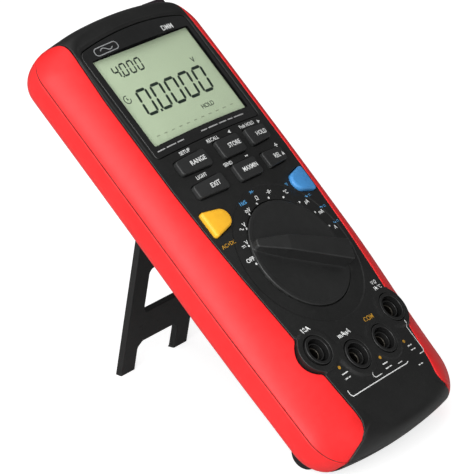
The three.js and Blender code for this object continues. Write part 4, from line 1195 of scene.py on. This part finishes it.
soup = Soup()
disc = circle(0, 0, DIAL_R, 140)
bar_foot, bar_low, bar_top = offset(BAR, 0.30), offset(BAR, 0.10), offset(BAR, -0.22)
soup.cap(disc_z, disc, [bar_foot], 1.5, DISC_EDGE,
         extra=[circle(0, 0, r, 130) for r in (19.3, 19.6, 19.9, 20.2)])
soup.grid(np.stack([lift(bar_foot, heights(disc_z, bar_foot)),
                    lift(bar_low, heights(disc_z, bar_low) + 0.14),
                    lift(BAR, heights(disc_z, BAR) + 0.45),
                    lift(bar_top, heights(bar_z, bar_top) - BAR_EDGE)]), wrap_cols=True)
bar_bend = [np.column_stack([np.full(9, x), np.linspace(-2.4, 2.4, 9)])
            for x in (8.2, 8.6, 9.0)]
soup.cap(bar_z, bar_top, (), 0.9, BAR_EDGE, extra=bar_bend)
soup.wall(disc, heights(disc_z, disc) - DISC_EDGE, DISC_BACK)
hub = circle(0, 0, 4.4, 40)
soup.cap(DISC_BACK, disc, [hub], 3.0, down=True)
soup.wall(hub, DISC_BACK, HUB_END)
soup.cap(HUB_END, hub, (), 2.0, down=True)
make("knob_turned", soup, knob_mat, replaces=["selector_knob"], body="knob", sharp=36,
     place=lambda verts: turned(verts, KNOB_ANGLE, 0, 1))

# ------------------------------------------------------------------ sockets
for name, x, y in JACKS:
    top = boss_top(x) + 0.25
    mouth = [(2.95, -17.3), (5.45, -17.3), (5.45, top), (JACK_R, top), (JACK_R, -15.6),
             (3.35, -15.6), (3.35, top - 1.6), (2.95, top - 1.6)]
    make("mouth_" + name, Soup().lathe(round_profile(mouth, 0.32), x, y), socket_mat,
         ["socket_" + name])
    # the contact's dark metal is painted shade in the socket hole
    pin = [(0, -20.0), (2.65, -20.0), (2.65, top - 3.1), (2.0, top - 3.1), (2.0, -18.6),
           (0, -18.6)]
    make("pin_" + name, Soup().lathe(round_profile(pin, 0.22), x, y, 48), sleeve_painted_shade,
         ["contact_" + name])


# ------------------------------------------------------------------ screws
def screw(name, cx, cy, z_head, z_under, z_end, r, r_shaft, node):
    """A screw seen from the back, with a cross recess in its domed head."""
    head, shaft = circle(cx, cy, r, 48), circle(cx, cy, r_shaft, 32)
    arm, half = r * 0.62, 0.36  # reach and half width of the recess's arms
    corners = [(arm, half), (half, half), (half, arm), (-half, arm), (-half, half),
               (-arm, half), (-arm, -half), (-half, -half), (-half, -arm), (half, -arm),
               (half, -half), (arm, -half)]
    cross = round_poly([(cx + x, cy + y) for x, y in corners], [0.2, 0.3, 0.2] * 4, 0.5)
    r_head, r_cross = 0.35, 0.08
    recess_z = z_head + 0.9

    def dome(x, y):
        part = np.hypot(x - cx, y - cy) / r
        return z_head + 0.22 * part * part

    soup = Soup()
    soup.cap(dome, head, [cross], 0.7, r_head, r_cross, down=True)
    soup.wall(cross, heights(dome, cross) + r_cross, recess_z)
    soup.cap(recess_z, cross, (), 0.5, down=True)
    soup.wall(head, heights(dome, head) + r_head, z_under)
    soup.cap(z_under, head, [shaft], 1.0)
    soup.wall(shaft, z_under, z_end)
    soup.cap(z_end, shaft, (), 1.0)
    make(name, soup, steel, [node])


for i, (x, y) in enumerate(CASE_SCREWS, 1):
    screw(f"screw_head_{i}", x, y, z_head=-29.6, z_under=-27.9, z_end=-9.2, r=2.9,
          r_shaft=1.4, node=f"case_screw_{i}")
screw("screw_head_5", 0, COVER_SCREW_Y, z_head=-30.95, z_under=-30.15, z_end=-28.75, r=2.8,
      r_shaft=1.3, node="cover_screw")

# ------------------------------------------------------------------ seam, port, feet
# dark edge of the shell in the parting groove
seam_out, seam_in = outline(0.34), outline(1.3)
ring = [lift(loop, Z_PART + dz) for loop, dz in
        ((seam_out, -0.2), (seam_in, -0.2), (seam_in, 0.2), (seam_out, 0.2))]
make("seam_edge", Soup().grid(np.stack(ring, 1), wrap_rows=True, wrap_cols=True), black)

port = box_loop(19.0, 30.9, 101.6, 107.7, 0.7, 0.8)
make("port_window", slab(port, -10.2, -6.8, 0.5, 0.5, spacing=1.6), optic,
     ["optical_port"])

# ribbed feet turned about a line along x, cut flat where they meet the floor
foot = [(0, FOOT_X0), (FOOT_R - 0.9, FOOT_X0), (FOOT_R - 0.3, FOOT_X0 + 0.25),
        (FOOT_R, FOOT_X0 + 0.9)]
for k in range(6):
    x = FOOT_X0 + 2.0 + k * 1.85
    foot += [(FOOT_R, x), (FOOT_R - 0.28, x + 0.2), (FOOT_R - 0.28, x + 0.55),
             (FOOT_R, x + 0.75)]
foot += [(FOOT_R, FOOT_X1 - 1.4), (FOOT_R - 0.15, FOOT_X1 - 0.8),
         (FOOT_R - 0.6, FOOT_X1 - 0.25), (FOOT_R - 1.4, FOOT_X1), (0, FOOT_X1)]
for side, word in ((-1, "left"), (1, "right")):
    profile = [(r, x * side) for r, x in foot]
    make("foot_pad_" + word, Soup().lathe(profile, FOOT_Y, FOOT_Z, 72, along_x=True), rubber,
         ["foot_" + word], cut_table=True)

# ------------------------------------------------------------------ tilt stand
half_w, half_t = STAND_W / 2, STAND_T / 2
reach = STAND_L + 1.5  # hinge to free end
leg = 11.6  # half width of the notch between the legs
# half the notched end: (x, distance from the hinge)
notch = [(half_w, reach), (leg - 0.7, reach), (leg - 0.7, reach - 1.9), (leg, reach - 2.4),
         (leg, reach - 11.4), (leg - 2.4, reach - 13.2)]
notch_r = [0.3, 0.3, 0.3, 0.6, 1.6, 1.6]
leaf = [(-x, s) for x, s in notch] + notch[::-1] + [(half_w, 0.2), (-half_w, 0.2)]
leaf = round_poly([(x, HINGE_Y - s) for x, s in leaf],
                  notch_r + notch_r[::-1] + [0.4, 0.4], 0.9)
leaf_hole = box_loop(-11.0, 11.0, HINGE_Y - (reach - 25.8), HINGE_Y - (reach - 43.5), 2.0, 0.9)
soup = slab(leaf, HINGE_Z - half_t, HINGE_Z + half_t, 0.45, 0.45, [leaf_hole], 0.45, 2.2)
# barrel, then a pivot pin at each end: radius, ends in x, edge rounding, segments
for r, x0, x1, edge_r, n in ((half_t + 0.02, -half_w + 0.4, half_w - 0.4, 0.4, 40),
                             (1.25, -21.6, -half_w - 0.05, 0.25, 32),
                             (1.25, half_w + 0.05, 21.6, 0.25, 32)):
    rod = round_profile([(0, x0), (r, x0), (r, x1), (0, x1)], edge_r)
    soup.lathe(rod, HINGE_Y, HINGE_Z, n, along_x=True)
make("stand_leaf", soup, stand_mat, replaces=["tilt_stand"], body="stand", cut_table=True,
     place=lambda verts: turned(verts, STAND_OPEN, 1, 2, (HINGE_Y, HINGE_Z)))

# ------------------------------------------------------------------ internals keep their CAD solids
INSIDE = [
    (white_plastic, ("lcd_frame", "backlight_guide", "switch_rotor")),
    (zebra, ("zebra_strip",)),
    (board_mat, ("display_board", "main_board")),
    (silicone, ("keypad_mat",)),
    (brass, ("wiper_contacts", "fuse_10a_clip_a", "fuse_10a_clip_b", "fuse_ma_clip_a",
             "fuse_ma_clip_b")),
    (steel, ("detent_spring",)),
    (chip_mat, ("meter_chip", "buzzer", "battery_snap")),
    (copper, ("shunt_link",)),
    (ceramic, ("fuse_10a", "fuse_ma")),
    (wrap, ("battery_9v",)),
]
for mat, names in INSIDE:
    for name in names:
        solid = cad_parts[name]
        solid.data.materials.clear()
        solid.data.materials.append(mat)
        bevel = solid.modifiers.new("edge", "BEVEL")
        bevel.width = 0.00012
        bevel.segments = 2
        bevel.limit_method = "ANGLE"
        bevel.angle_limit = math.radians(40)
        bevel.use_clamp_overlap = True

# ------------------------------------------------------------------ tools for printed marks
labels = []
groups = {}  # one soup of flat marks for each group, z from 0 to 1


def group_soup(group):
    return groups.setdefault(group, Soup())


def label(group, text, x, y, cap_height, bold=0.012, stretch=1.0):
    labels.append((group, text, x, y, cap_height, bold, stretch))


def shape(group, points):
    """A flat printed shape as a thin closed prism."""
    points = np.array(points, float)
    if signed_area(points) < 0:
        points = points[::-1]
    n = len(points)
    faces = [list(range(n))[::-1], [n + i for i in range(n)]]
    faces += [[i, (i + 1) % n, n + (i + 1) % n, n + i] for i in range(n)]
    group_soup(group).add(np.vstack([lift(points, 0.0), lift(points, 1.0)]), faces)


def stroke(group, corners, width, closed=False):
    """A printed line along a polyline, with mitred corners."""
    corners = np.array(corners, float)
    points = []
    for i in range(len(corners) - (0 if closed else 1)):
        a, b = corners[i], corners[(i + 1) % len(corners)]
        parts = max(1, int(math.ceil(float(np.linalg.norm(b - a)) / 1.2)))
        points += [a + (b - a) * j / parts for j in range(parts)]
    if not closed:
        points.append(corners[-1])
    points = np.array(points)
    n = len(points)
    if closed:
        run = np.roll(points, -1, 0) - np.roll(points, 1, 0)
    else:
        run = np.gradient(points, axis=0)
    run /= np.maximum(np.linalg.norm(run, axis=1, keepdims=True), 1e-9)
    normals = np.stack([-run[:, 1], run[:, 0]], 1)
    mitre = np.ones(n)
    for i in range(n) if closed else range(1, n - 1):
        ahead = points[(i + 1) % n] - points[i]
        ahead /= max(np.linalg.norm(ahead), 1e-9)
        mitre[i] = 1 / max(0.5, abs(float(normals[i] @ np.array([-ahead[1], ahead[0]]))))
    reach = normals * (width / 2 * mitre)[:, None]
    left, right = points + reach, points - reach
    section = [lift(left, 0.0), lift(right, 0.0), lift(right, 1.0), lift(left, 1.0)]
    bars_grid = np.stack(section, 1)
    soup = group_soup(group)
    soup.grid(bars_grid, wrap_rows=closed, wrap_cols=True)
    if not closed:
        soup.add(bars_grid[0], [[0, 1, 2, 3]])
        soup.add(bars_grid[-1], [[3, 2, 1, 0]])


def dot(group, x, y, r, n=20):
    shape(group, circle(x, y, r, n))


def bars(group, x, y, lengths, width, gap=0.9):
    """A row of printed dashes centred on x."""
    start = x - (sum(lengths) + gap * (len(lengths) - 1)) / 2
    for length in lengths:
        stroke(group, [(start, y), (start + length, y)], width)
        start += length + gap


def wave(group, x, y, width, height, line=0.28, n=14):
    t = np.linspace(0, 1, n)
    curve = [x - width / 2 + width * t, y + height / 2 * np.sin(2 * np.pi * t)]
    stroke(group, np.stack(curve, 1), line)


def dc_sign(group, x, y, width=1.7):
    """A line over three dashes."""
    stroke(group, [(x - width / 2, y + 0.3), (x + width / 2, y + 0.3)], 0.24)
    for i in range(3):
        start = x - width / 2 + (i + 0.2) * width / 2.9
        stroke(group, [(start, y - 0.3), (start + 0.38, y - 0.3)], 0.24)


# how far a mark shifts across the face per mm of height, seen from the camera
VIEW_X, VIEW_Y = 1.165, 0.230


def on_face(x_seen, y_seen):
    """A mark's place on the crowned face from where the camera sees it on the plane z = 0."""
    x, y = x_seen, y_seen
    for _ in range(6):
        z = float(face_z(x, y))
        x, y = x_seen - VIEW_X * z, y_seen - VIEW_Y * z
    return x, y


# ------------------------------------------------------------------ marks above the keys
WHITE, AMBER, BLUE = "white", "amber", "blue"
# places given to on_face() are the seen ones
for text, x, y in (("SETUP", -18.50075, 49.2206), ("RECALL", -2.5815, 49.2206),
                   ("Peak HOLD", 17.21, 49.0485), ("LIGHT", -18.931, 38.98065),
                   ("SEND", -3.7862, 38.8946)):
    label(WHITE, text, *on_face(x, y), 1.35, bold=0.01, stretch=0.95)
for triangle in (((7.65845, 48.5322), (7.65845, 49.909), (6.28165, 49.2206)),
                 ((23.2335, 47.8438), (23.2335, 49.2206), (24.6103, 48.5322))):
    shape(WHITE, [on_face(x, y) for x, y in triangle])
# a minus sign, then a plus sign in three parts: x0, x1, y0, y1
for x0, x1, y0, y1 in ((6.0235, 7.7445, 38.5504, 38.98065),
                       (22.80325, 24.52425, 37.6899, 38.12015),
                       (23.448625, 23.878875, 37.044525, 37.60385),
                       (23.448625, 23.878875, 38.2062, 38.765525)):
    shape(WHITE, [on_face(x, y) for x, y in ((x0, y0), (x1, y0), (x1, y1), (x0, y1))])

# ------------------------------------------------------------------ selector scale
for k in range(10):
    a = math.radians(171 - 18 * k)
    dot(WHITE, 0.6 + 22.25 * math.cos(a), 22.25 * math.sin(a), 0.40)
# legends on the rising rim of the dish
for text, x, y in (("OFF", -22.4, 5.7), ("V", -19.1, 11.5), ("V", -15.1, 17.3),
                   ("mV", -9.2, 21.3), ("Ω", -1.5, 23.75), ("°C", 13.2, 21.2),
                   ("µA", 20.1, 15.0), ("mA", 23.7, 9.5), ("A", 25.4, 2.3)):
    label(WHITE, text, x, y, 1.5, bold=0.018)
dc_sign(WHITE, -21.2, 10.7)
wave(WHITE, -17.3, 16.3, 1.7, 0.8)
# capacitance: two plates with leads
x, y = 5.6, 23.9
for dx in (-0.25, 0.25):
    stroke(WHITE, [(x + dx, y - 0.75), (x + dx, y + 0.75)], 0.24)
stroke(WHITE, [(x - 1.3, y), (x - 0.3, y)], 0.24)
stroke(WHITE, [(x + 0.3, y), (x + 1.3, y)], 0.24)
# second legends in blue, with a diode sign
label(BLUE, "Hz%", -9.2, 24.2, 1.35, bold=0.018)
x, y = -2.2, 26.4
shape(BLUE, [(x - 0.9, y - 0.6), (x + 0.2, y), (x - 0.9, y + 0.6)])
stroke(BLUE, [(x + 0.35, y - 0.65), (x + 0.35, y + 0.65)], 0.22)
stroke(BLUE, [(x + 0.35, y), (x + 1.1, y)], 0.2)
label(BLUE, "°F", 15.9, 23.4, 1.2, bold=0.015)
for x, y in ((22.7, 16.6), (26.4, 10.8), (27.6, 3.9)):
    wave(BLUE, x - 0.9, y, 1.3, 0.6, 0.2, 10)
    dc_sign(BLUE, x + 1.0, y, 1.3)
label(AMBER, "AC+DC", *on_face(-28.5686, 13.4238), 1.35)

# ------------------------------------------------------------------ marks round the sockets
for group, text, x, y, height, bold in (
        (WHITE, "10A", -23.7498, -24.6103, 1.75, 0.018),
        (WHITE, "mAµA", -8.4329, -32.09665, 1.75, 0.018),
        (AMBER, "COM", 7.2282, -31.8385, 1.75, 0.016),
        (WHITE, "V Ω", 21.1683, -22.0288, 1.35, 0.016),
        (WHITE, "Hz °C", 21.3404, -24.2661, 1.35, 0.016)):
    label(group, text, *on_face(x, y), height, bold)
for x, y in ((-20.8241, -41.4761), (-0.5163, -45.6065), (14.9727, -45.2623)):
    dot(AMBER, *on_face(x, y), 0.62)
for lengths, x, y in (((3.0,), -20.1357, -44.0576), ((1.4, 0.8), -20.3078, -45.9507),
                      ((3.0,), -0.1721, -48.188), ((1.8, 1.3), 0.1721, -49.99505),
                      ((1.2, 0.8), 16.3495, -47.4996), ((1.2, 1.2), 16.6937, -49.30665)):
    bars(WHITE, *on_face(x, y), lengths, 0.42, 0.5)
# bracket lines: line width, corners
for width, corners in (
        (0.34, ((-24.52425, -49.5648), (-24.52425, -51.2858), (-23.7498, -52.23235),
                (9.1213, -52.23235), (10.326, -51.8021))),
        (0.30, ((-8.9492, -48.7043), (-8.9492, -50.0811), (-8.34685, -50.68345),
                (-4.8188, -50.68345))),
        (0.30, ((5.3351, -50.68345), (7.7445, -50.68345))),
        (0.34, ((21.1683, -39.15275), (21.1683, -51.1137), (20.56595, -51.88815),
                (18.0705, -51.88815)))):
    stroke(WHITE, [on_face(x, y) for x, y in corners], width)
bars(WHITE, *on_face(15.1448, -55.072), (1.2, 1.2), 0.42, 0.5)

# ------------------------------------------------------------------ marks on the window plate
x0, x1, y0, y1 = -23.4, -12.2, 93.1, 96.1
stroke("badge", box_loop(x0, x1, y0, y1, (y1 - y0) * 0.47, 0.5), 0.36, closed=True)
wave("badge_mark", (x0 + x1) / 2, (y0 + y1) / 2, 6.0, 1.4, 0.36, 30)
label("plate", "DMM", 15.6, 94.1, 2.0)
bars("plate_grey", -20.5, 53.6, (3.6, 4.6, 3.2), 0.42)
bars("plate_grey", 8.3, 53.6, (3.4, 5.2, 4.4, 3.0, 6.0), 0.42)

# ------------------------------------------------------------------ key legends
for name, plan, legend, x, stretch in KEYS:
    if legend:
        ys = [y for _, y in plan]
        middle = (min(ys) + max(ys)) / 2
        label(name, legend, x, middle + 0.1, 1.7, bold=0.014, stretch=stretch)
        if name == "key_rel":  # a triangle after the letters
            shape(name, [(23.4, middle - 0.7), (25.0, middle - 0.7), (24.2, middle + 0.8)])


# ------------------------------------------------------------------ display segments
def digit(x, y, width, height, thick, lit, slant):
    """Seven-segment digit with its lower left corner at x, y."""
    gap, half, middle = thick * 0.12, thick / 2, height / 2

    def bar(line, start, end, upright=False):
        points = [(start, line), (start + half, line + half), (end - half, line + half),
                  (end, line), (end - half, line - half), (start + half, line - half)]
        return [p[::-1] for p in points] if upright else points

    across = (half + gap, width - half - gap)
    lower = (half + gap, middle - gap)
    upper = (middle + gap, height - half - gap)
    segments = {
        "a": bar(height - half, *across), "d": bar(half, *across), "g": bar(middle, *across),
        "b": bar(width - half, *upper, True), "c": bar(width - half, *lower, True),
        "f": bar(half, *upper, True), "e": bar(half, *lower, True)}
    for key in lit:
        shape("lcd", [(x + px + slant * py, y + py) for px, py in segments[key]])


FOUR, ZERO = "bcfg", "abcdef"
for i, lit in enumerate((FOUR, ZERO, ZERO, ZERO)):
    digit(-19.9 + i * 4.15, 83.4, 3.1, 5.3, thick=0.62, lit=lit, slant=0.09)
dot("lcd", -16.1, 83.6, 0.36, 12)
for i in range(5):
    digit(-18.0 + i * 7.9, 66.8, 6.15, 10.7, thick=1.12, lit=ZERO, slant=0.12)
shape("lcd", [(-11.15, 66.75), (-10.15, 66.75), (-10.02, 67.75), (-11.02, 67.75)])
label("lcd", "V", 19.4, 80.1, 2.0, bold=0.01)
label("lcd", "HOLD", 11.1, 62.6, 1.7, bold=0.002)
# open ring with two short hands
cx, cy = -22.0, 75.4
angles = np.radians(np.linspace(70, 360, 26))
stroke("lcd", np.stack([cx + 1.55 * np.cos(angles), cy + 1.55 * np.sin(angles)], 1), 0.32)
stroke("lcd", [(cx, cy - 0.2), (cx, cy + 0.75)], 0.36)
stroke("lcd", [(cx - 0.2, cy - 0.1), (cx + 0.55, cy - 0.1)], 0.36)
for i in range(11):
    x = -21.0 + i * 4.2
    stroke("lcd_faint", [(x, 59.2), (x + 1.6, 59.2)], 0.30)


# ------------------------------------------------------------------ text to meshes
def text_object(text):
    curve = bpy.data.curves.new("label", "FONT")
    curve.body = text
    curve.size = 1.0
    obj = bpy.data.objects.new("label", curve)
    scene.collection.objects.link(obj)
    return obj


def add_labels():
    """Turns every label into a closed thin mesh in its group, sized by the height of an H."""
    made = []
    for _, text, _, _, _, bold, _ in labels:
        obj = text_object(text)
        obj.data.align_x = "CENTER"
        obj.data.resolution_u = 3
        obj.data.extrude = 0.5
        obj.data.offset = bold
        made.append(obj)
    reference = text_object("H")
    bpy.context.view_layer.update()
    depsgraph = bpy.context.evaluated_depsgraph_get()

    def text_mesh(obj):
        return bpy.data.meshes.new_from_object(obj.evaluated_get(depsgraph))

    h_height = max(v.co.y for v in text_mesh(reference).vertices)
    for obj, (group, _, x, y, cap_height, _, stretch) in zip(made, labels):
        mesh = text_mesh(obj)
        verts = np.array([v.co[:] for v in mesh.vertices], float).reshape(-1, 3)
        faces = [list(p.vertices) for p in mesh.polygons]
        scale = cap_height / h_height
        verts[:, 0] = verts[:, 0] * (scale * stretch) + x
        verts[:, 1] = (verts[:, 1] - h_height / 2) * scale + y
        verts[:, 2] += 0.5
        group_soup(group).add(verts, faces)
        bpy.data.meshes.remove(mesh)
    for obj in made + [reference]:
        curve = obj.data
        bpy.data.objects.remove(obj)
        bpy.data.curves.remove(curve)


def printed(name, group, surface_z, mat, body="case", low=-0.035,
            high=0.035):
    """Lays a group of marks on a surface, from low below it to high above."""
    def place(verts):
        verts = verts.copy()
        verts[:, 2] = heights(surface_z, verts) + low + (high - low) * verts[:, 2]
        return verts

    make(name, groups[group], mat, body=body, place=place, weighted=False, sharp=30,
         merge=1e-7)


add_labels()
for name, group, surface_z, mat in (
        ("print_white", WHITE, cap_z, white_ink),
        ("print_amber", AMBER, cap_z, amber_ink),
        ("print_blue", BLUE, cap_z, blue_ink),
        ("badge_outline", "badge", lens_top, badge_ink),
        ("badge_wave", "badge_mark", lens_top, badge_ink),
        ("print_window", "plate", lens_top, white_ink),
        ("print_window_marks", "plate_grey", lens_top, grey_ink)):
    printed(name, group, surface_z, mat)
for name, group, mat in (("lcd_segments", "lcd", lcd_ink),
                         ("lcd_scale_marks", "lcd_faint", lcd_ghost)):
    printed(name, group, -3.62, mat, low=-0.04, high=0.03)
for name, plan, legend, *_ in KEYS:
    if legend:
        printed("legend_" + name[4:], name, key_top(key_loop(plan)), white_ink, body=name)


# ------------------------------------------------------------------ floor
def floor_material():
    """Pale grey that glows to the camera only, so that it reads almost white."""
    mat = bpy.data.materials.new("pale_floor")
    nodes = Nodes(mat)
    patches = nodes.new("TexNoise", {"Scale": 3.0}).outputs["Fac"]
    to_camera = nodes.new("LightPath").outputs["Is Camera Ray"]
    nodes.wire(nodes["Principled BSDF"], {
        "Roughness": nodes.map_range(patches, 0, 1, 0.30, 0.36),
        "Base Color": (0.62, 0.62, 0.62, 1),
        "Specular IOR Level": 0.10,
        "Emission Color": (1, 1, 1, 1),
        "Emission Strength": nodes.math("MULTIPLY", to_camera, 0.72),
    })
    return mat


FLOOR_HALF = 6  # metres
floor_mat = floor_material()
floor_mesh = bpy.data.meshes.new("floor")
floor_mesh.from_pydata([(x * FLOOR_HALF, y * FLOOR_HALF, 0) for x, y in
                        ((-1, -1), (1, -1), (1, 1), (-1, 1))], [], [(0, 1, 2, 3)])
floor = bpy.data.objects.new("floor", floor_mesh)
floor_mesh.materials.append(floor_mat)
scene.collection.objects.link(floor)

# ------------------------------------------------------------------ world
world = bpy.data.worlds.new("studio")
scene.world = world
nodes = Nodes(world)
direction = nodes.new("SeparateXYZ", {0: nodes.new("TexCoord").outputs["Generated"]})
# brighter towards -x; the camera itself sees an even pale studio
glow = nodes.map_range(direction.outputs["X"], 0.30, -0.85, 0.12, 0.80)
to_camera = nodes.new("LightPath").outputs["Is Camera Ray"]
strength = nodes.new("Mix", {"Factor": to_camera, "A": glow, "B": 0.97})
nodes.wire(nodes["Background"], {"Strength": strength.outputs["Result"],
                                 "Color": (1, 1, 1, 1)})


# ------------------------------------------------------------------ lights, in metres and watts
def area(name, place, size, power):
    """A rectangular light aimed at the meter."""
    light = bpy.data.lights.new(name, "AREA")
    light.shape = "RECTANGLE"
    light.size, light.size_y = size
    light.energy = power
    obj = bpy.data.objects.new(name, light)
    obj.location = place
    aim = Vector((0, 0, 0.06)) - Vector(place)
    obj.rotation_euler = aim.to_track_quat("-Z", "Y").to_euler()
    scene.collection.objects.link(obj)


area("key_light", place=(-1.15, -0.35, 0.62), size=(0.9, 0.8), power=15.5)
area("top_light", place=(-0.15, 0.10, 1.25), size=(1.0, 0.8), power=3.0)
area("front_light", place=(-0.25, -1.2, 0.50), size=(0.8, 0.5), power=1.2)

# ------------------------------------------------------------------ camera, in the meter's frame
CAMERA_PLACE = (-637.40, -106.97, 527.21)
CAMERA_RIGHT = (0.589881, -0.589666, 0.551665)
CAMERA_DOWN = (-0.297959, -0.793921, -0.530009)
CAMERA_FORWARD = (0.750507, 0.148268, -0.644016)


def leaned(direction):
    v = Vector(direction)
    return Vector((v.x, v.y * COS_LEAN - v.z * SIN_LEAN, v.y * SIN_LEAN + v.z * COS_LEAN))


camera = bpy.data.cameras.new("camera")
camera_obj = bpy.data.objects.new("camera", camera)
scene.collection.objects.link(camera_obj)
camera.sensor_width = 36.0
camera.lens = 184.9253165
camera.clip_start = 0.01
axes = Matrix((leaned(CAMERA_RIGHT), -leaned(CAMERA_DOWN), -leaned(CAMERA_FORWARD)))
place = Vector(to_scene([CAMERA_PLACE])[0])
camera_obj.matrix_world = Matrix.Translation(place) @ axes.transposed().to_4x4()
scene.camera = camera_obj
scene.view_settings.view_transform = "Standard"
scene.view_settings.look = "None"
scene.view_settings.exposure = 0.0

# ------------------------------------------------------------------ last update of the view layer
bpy.context.view_layer.update()
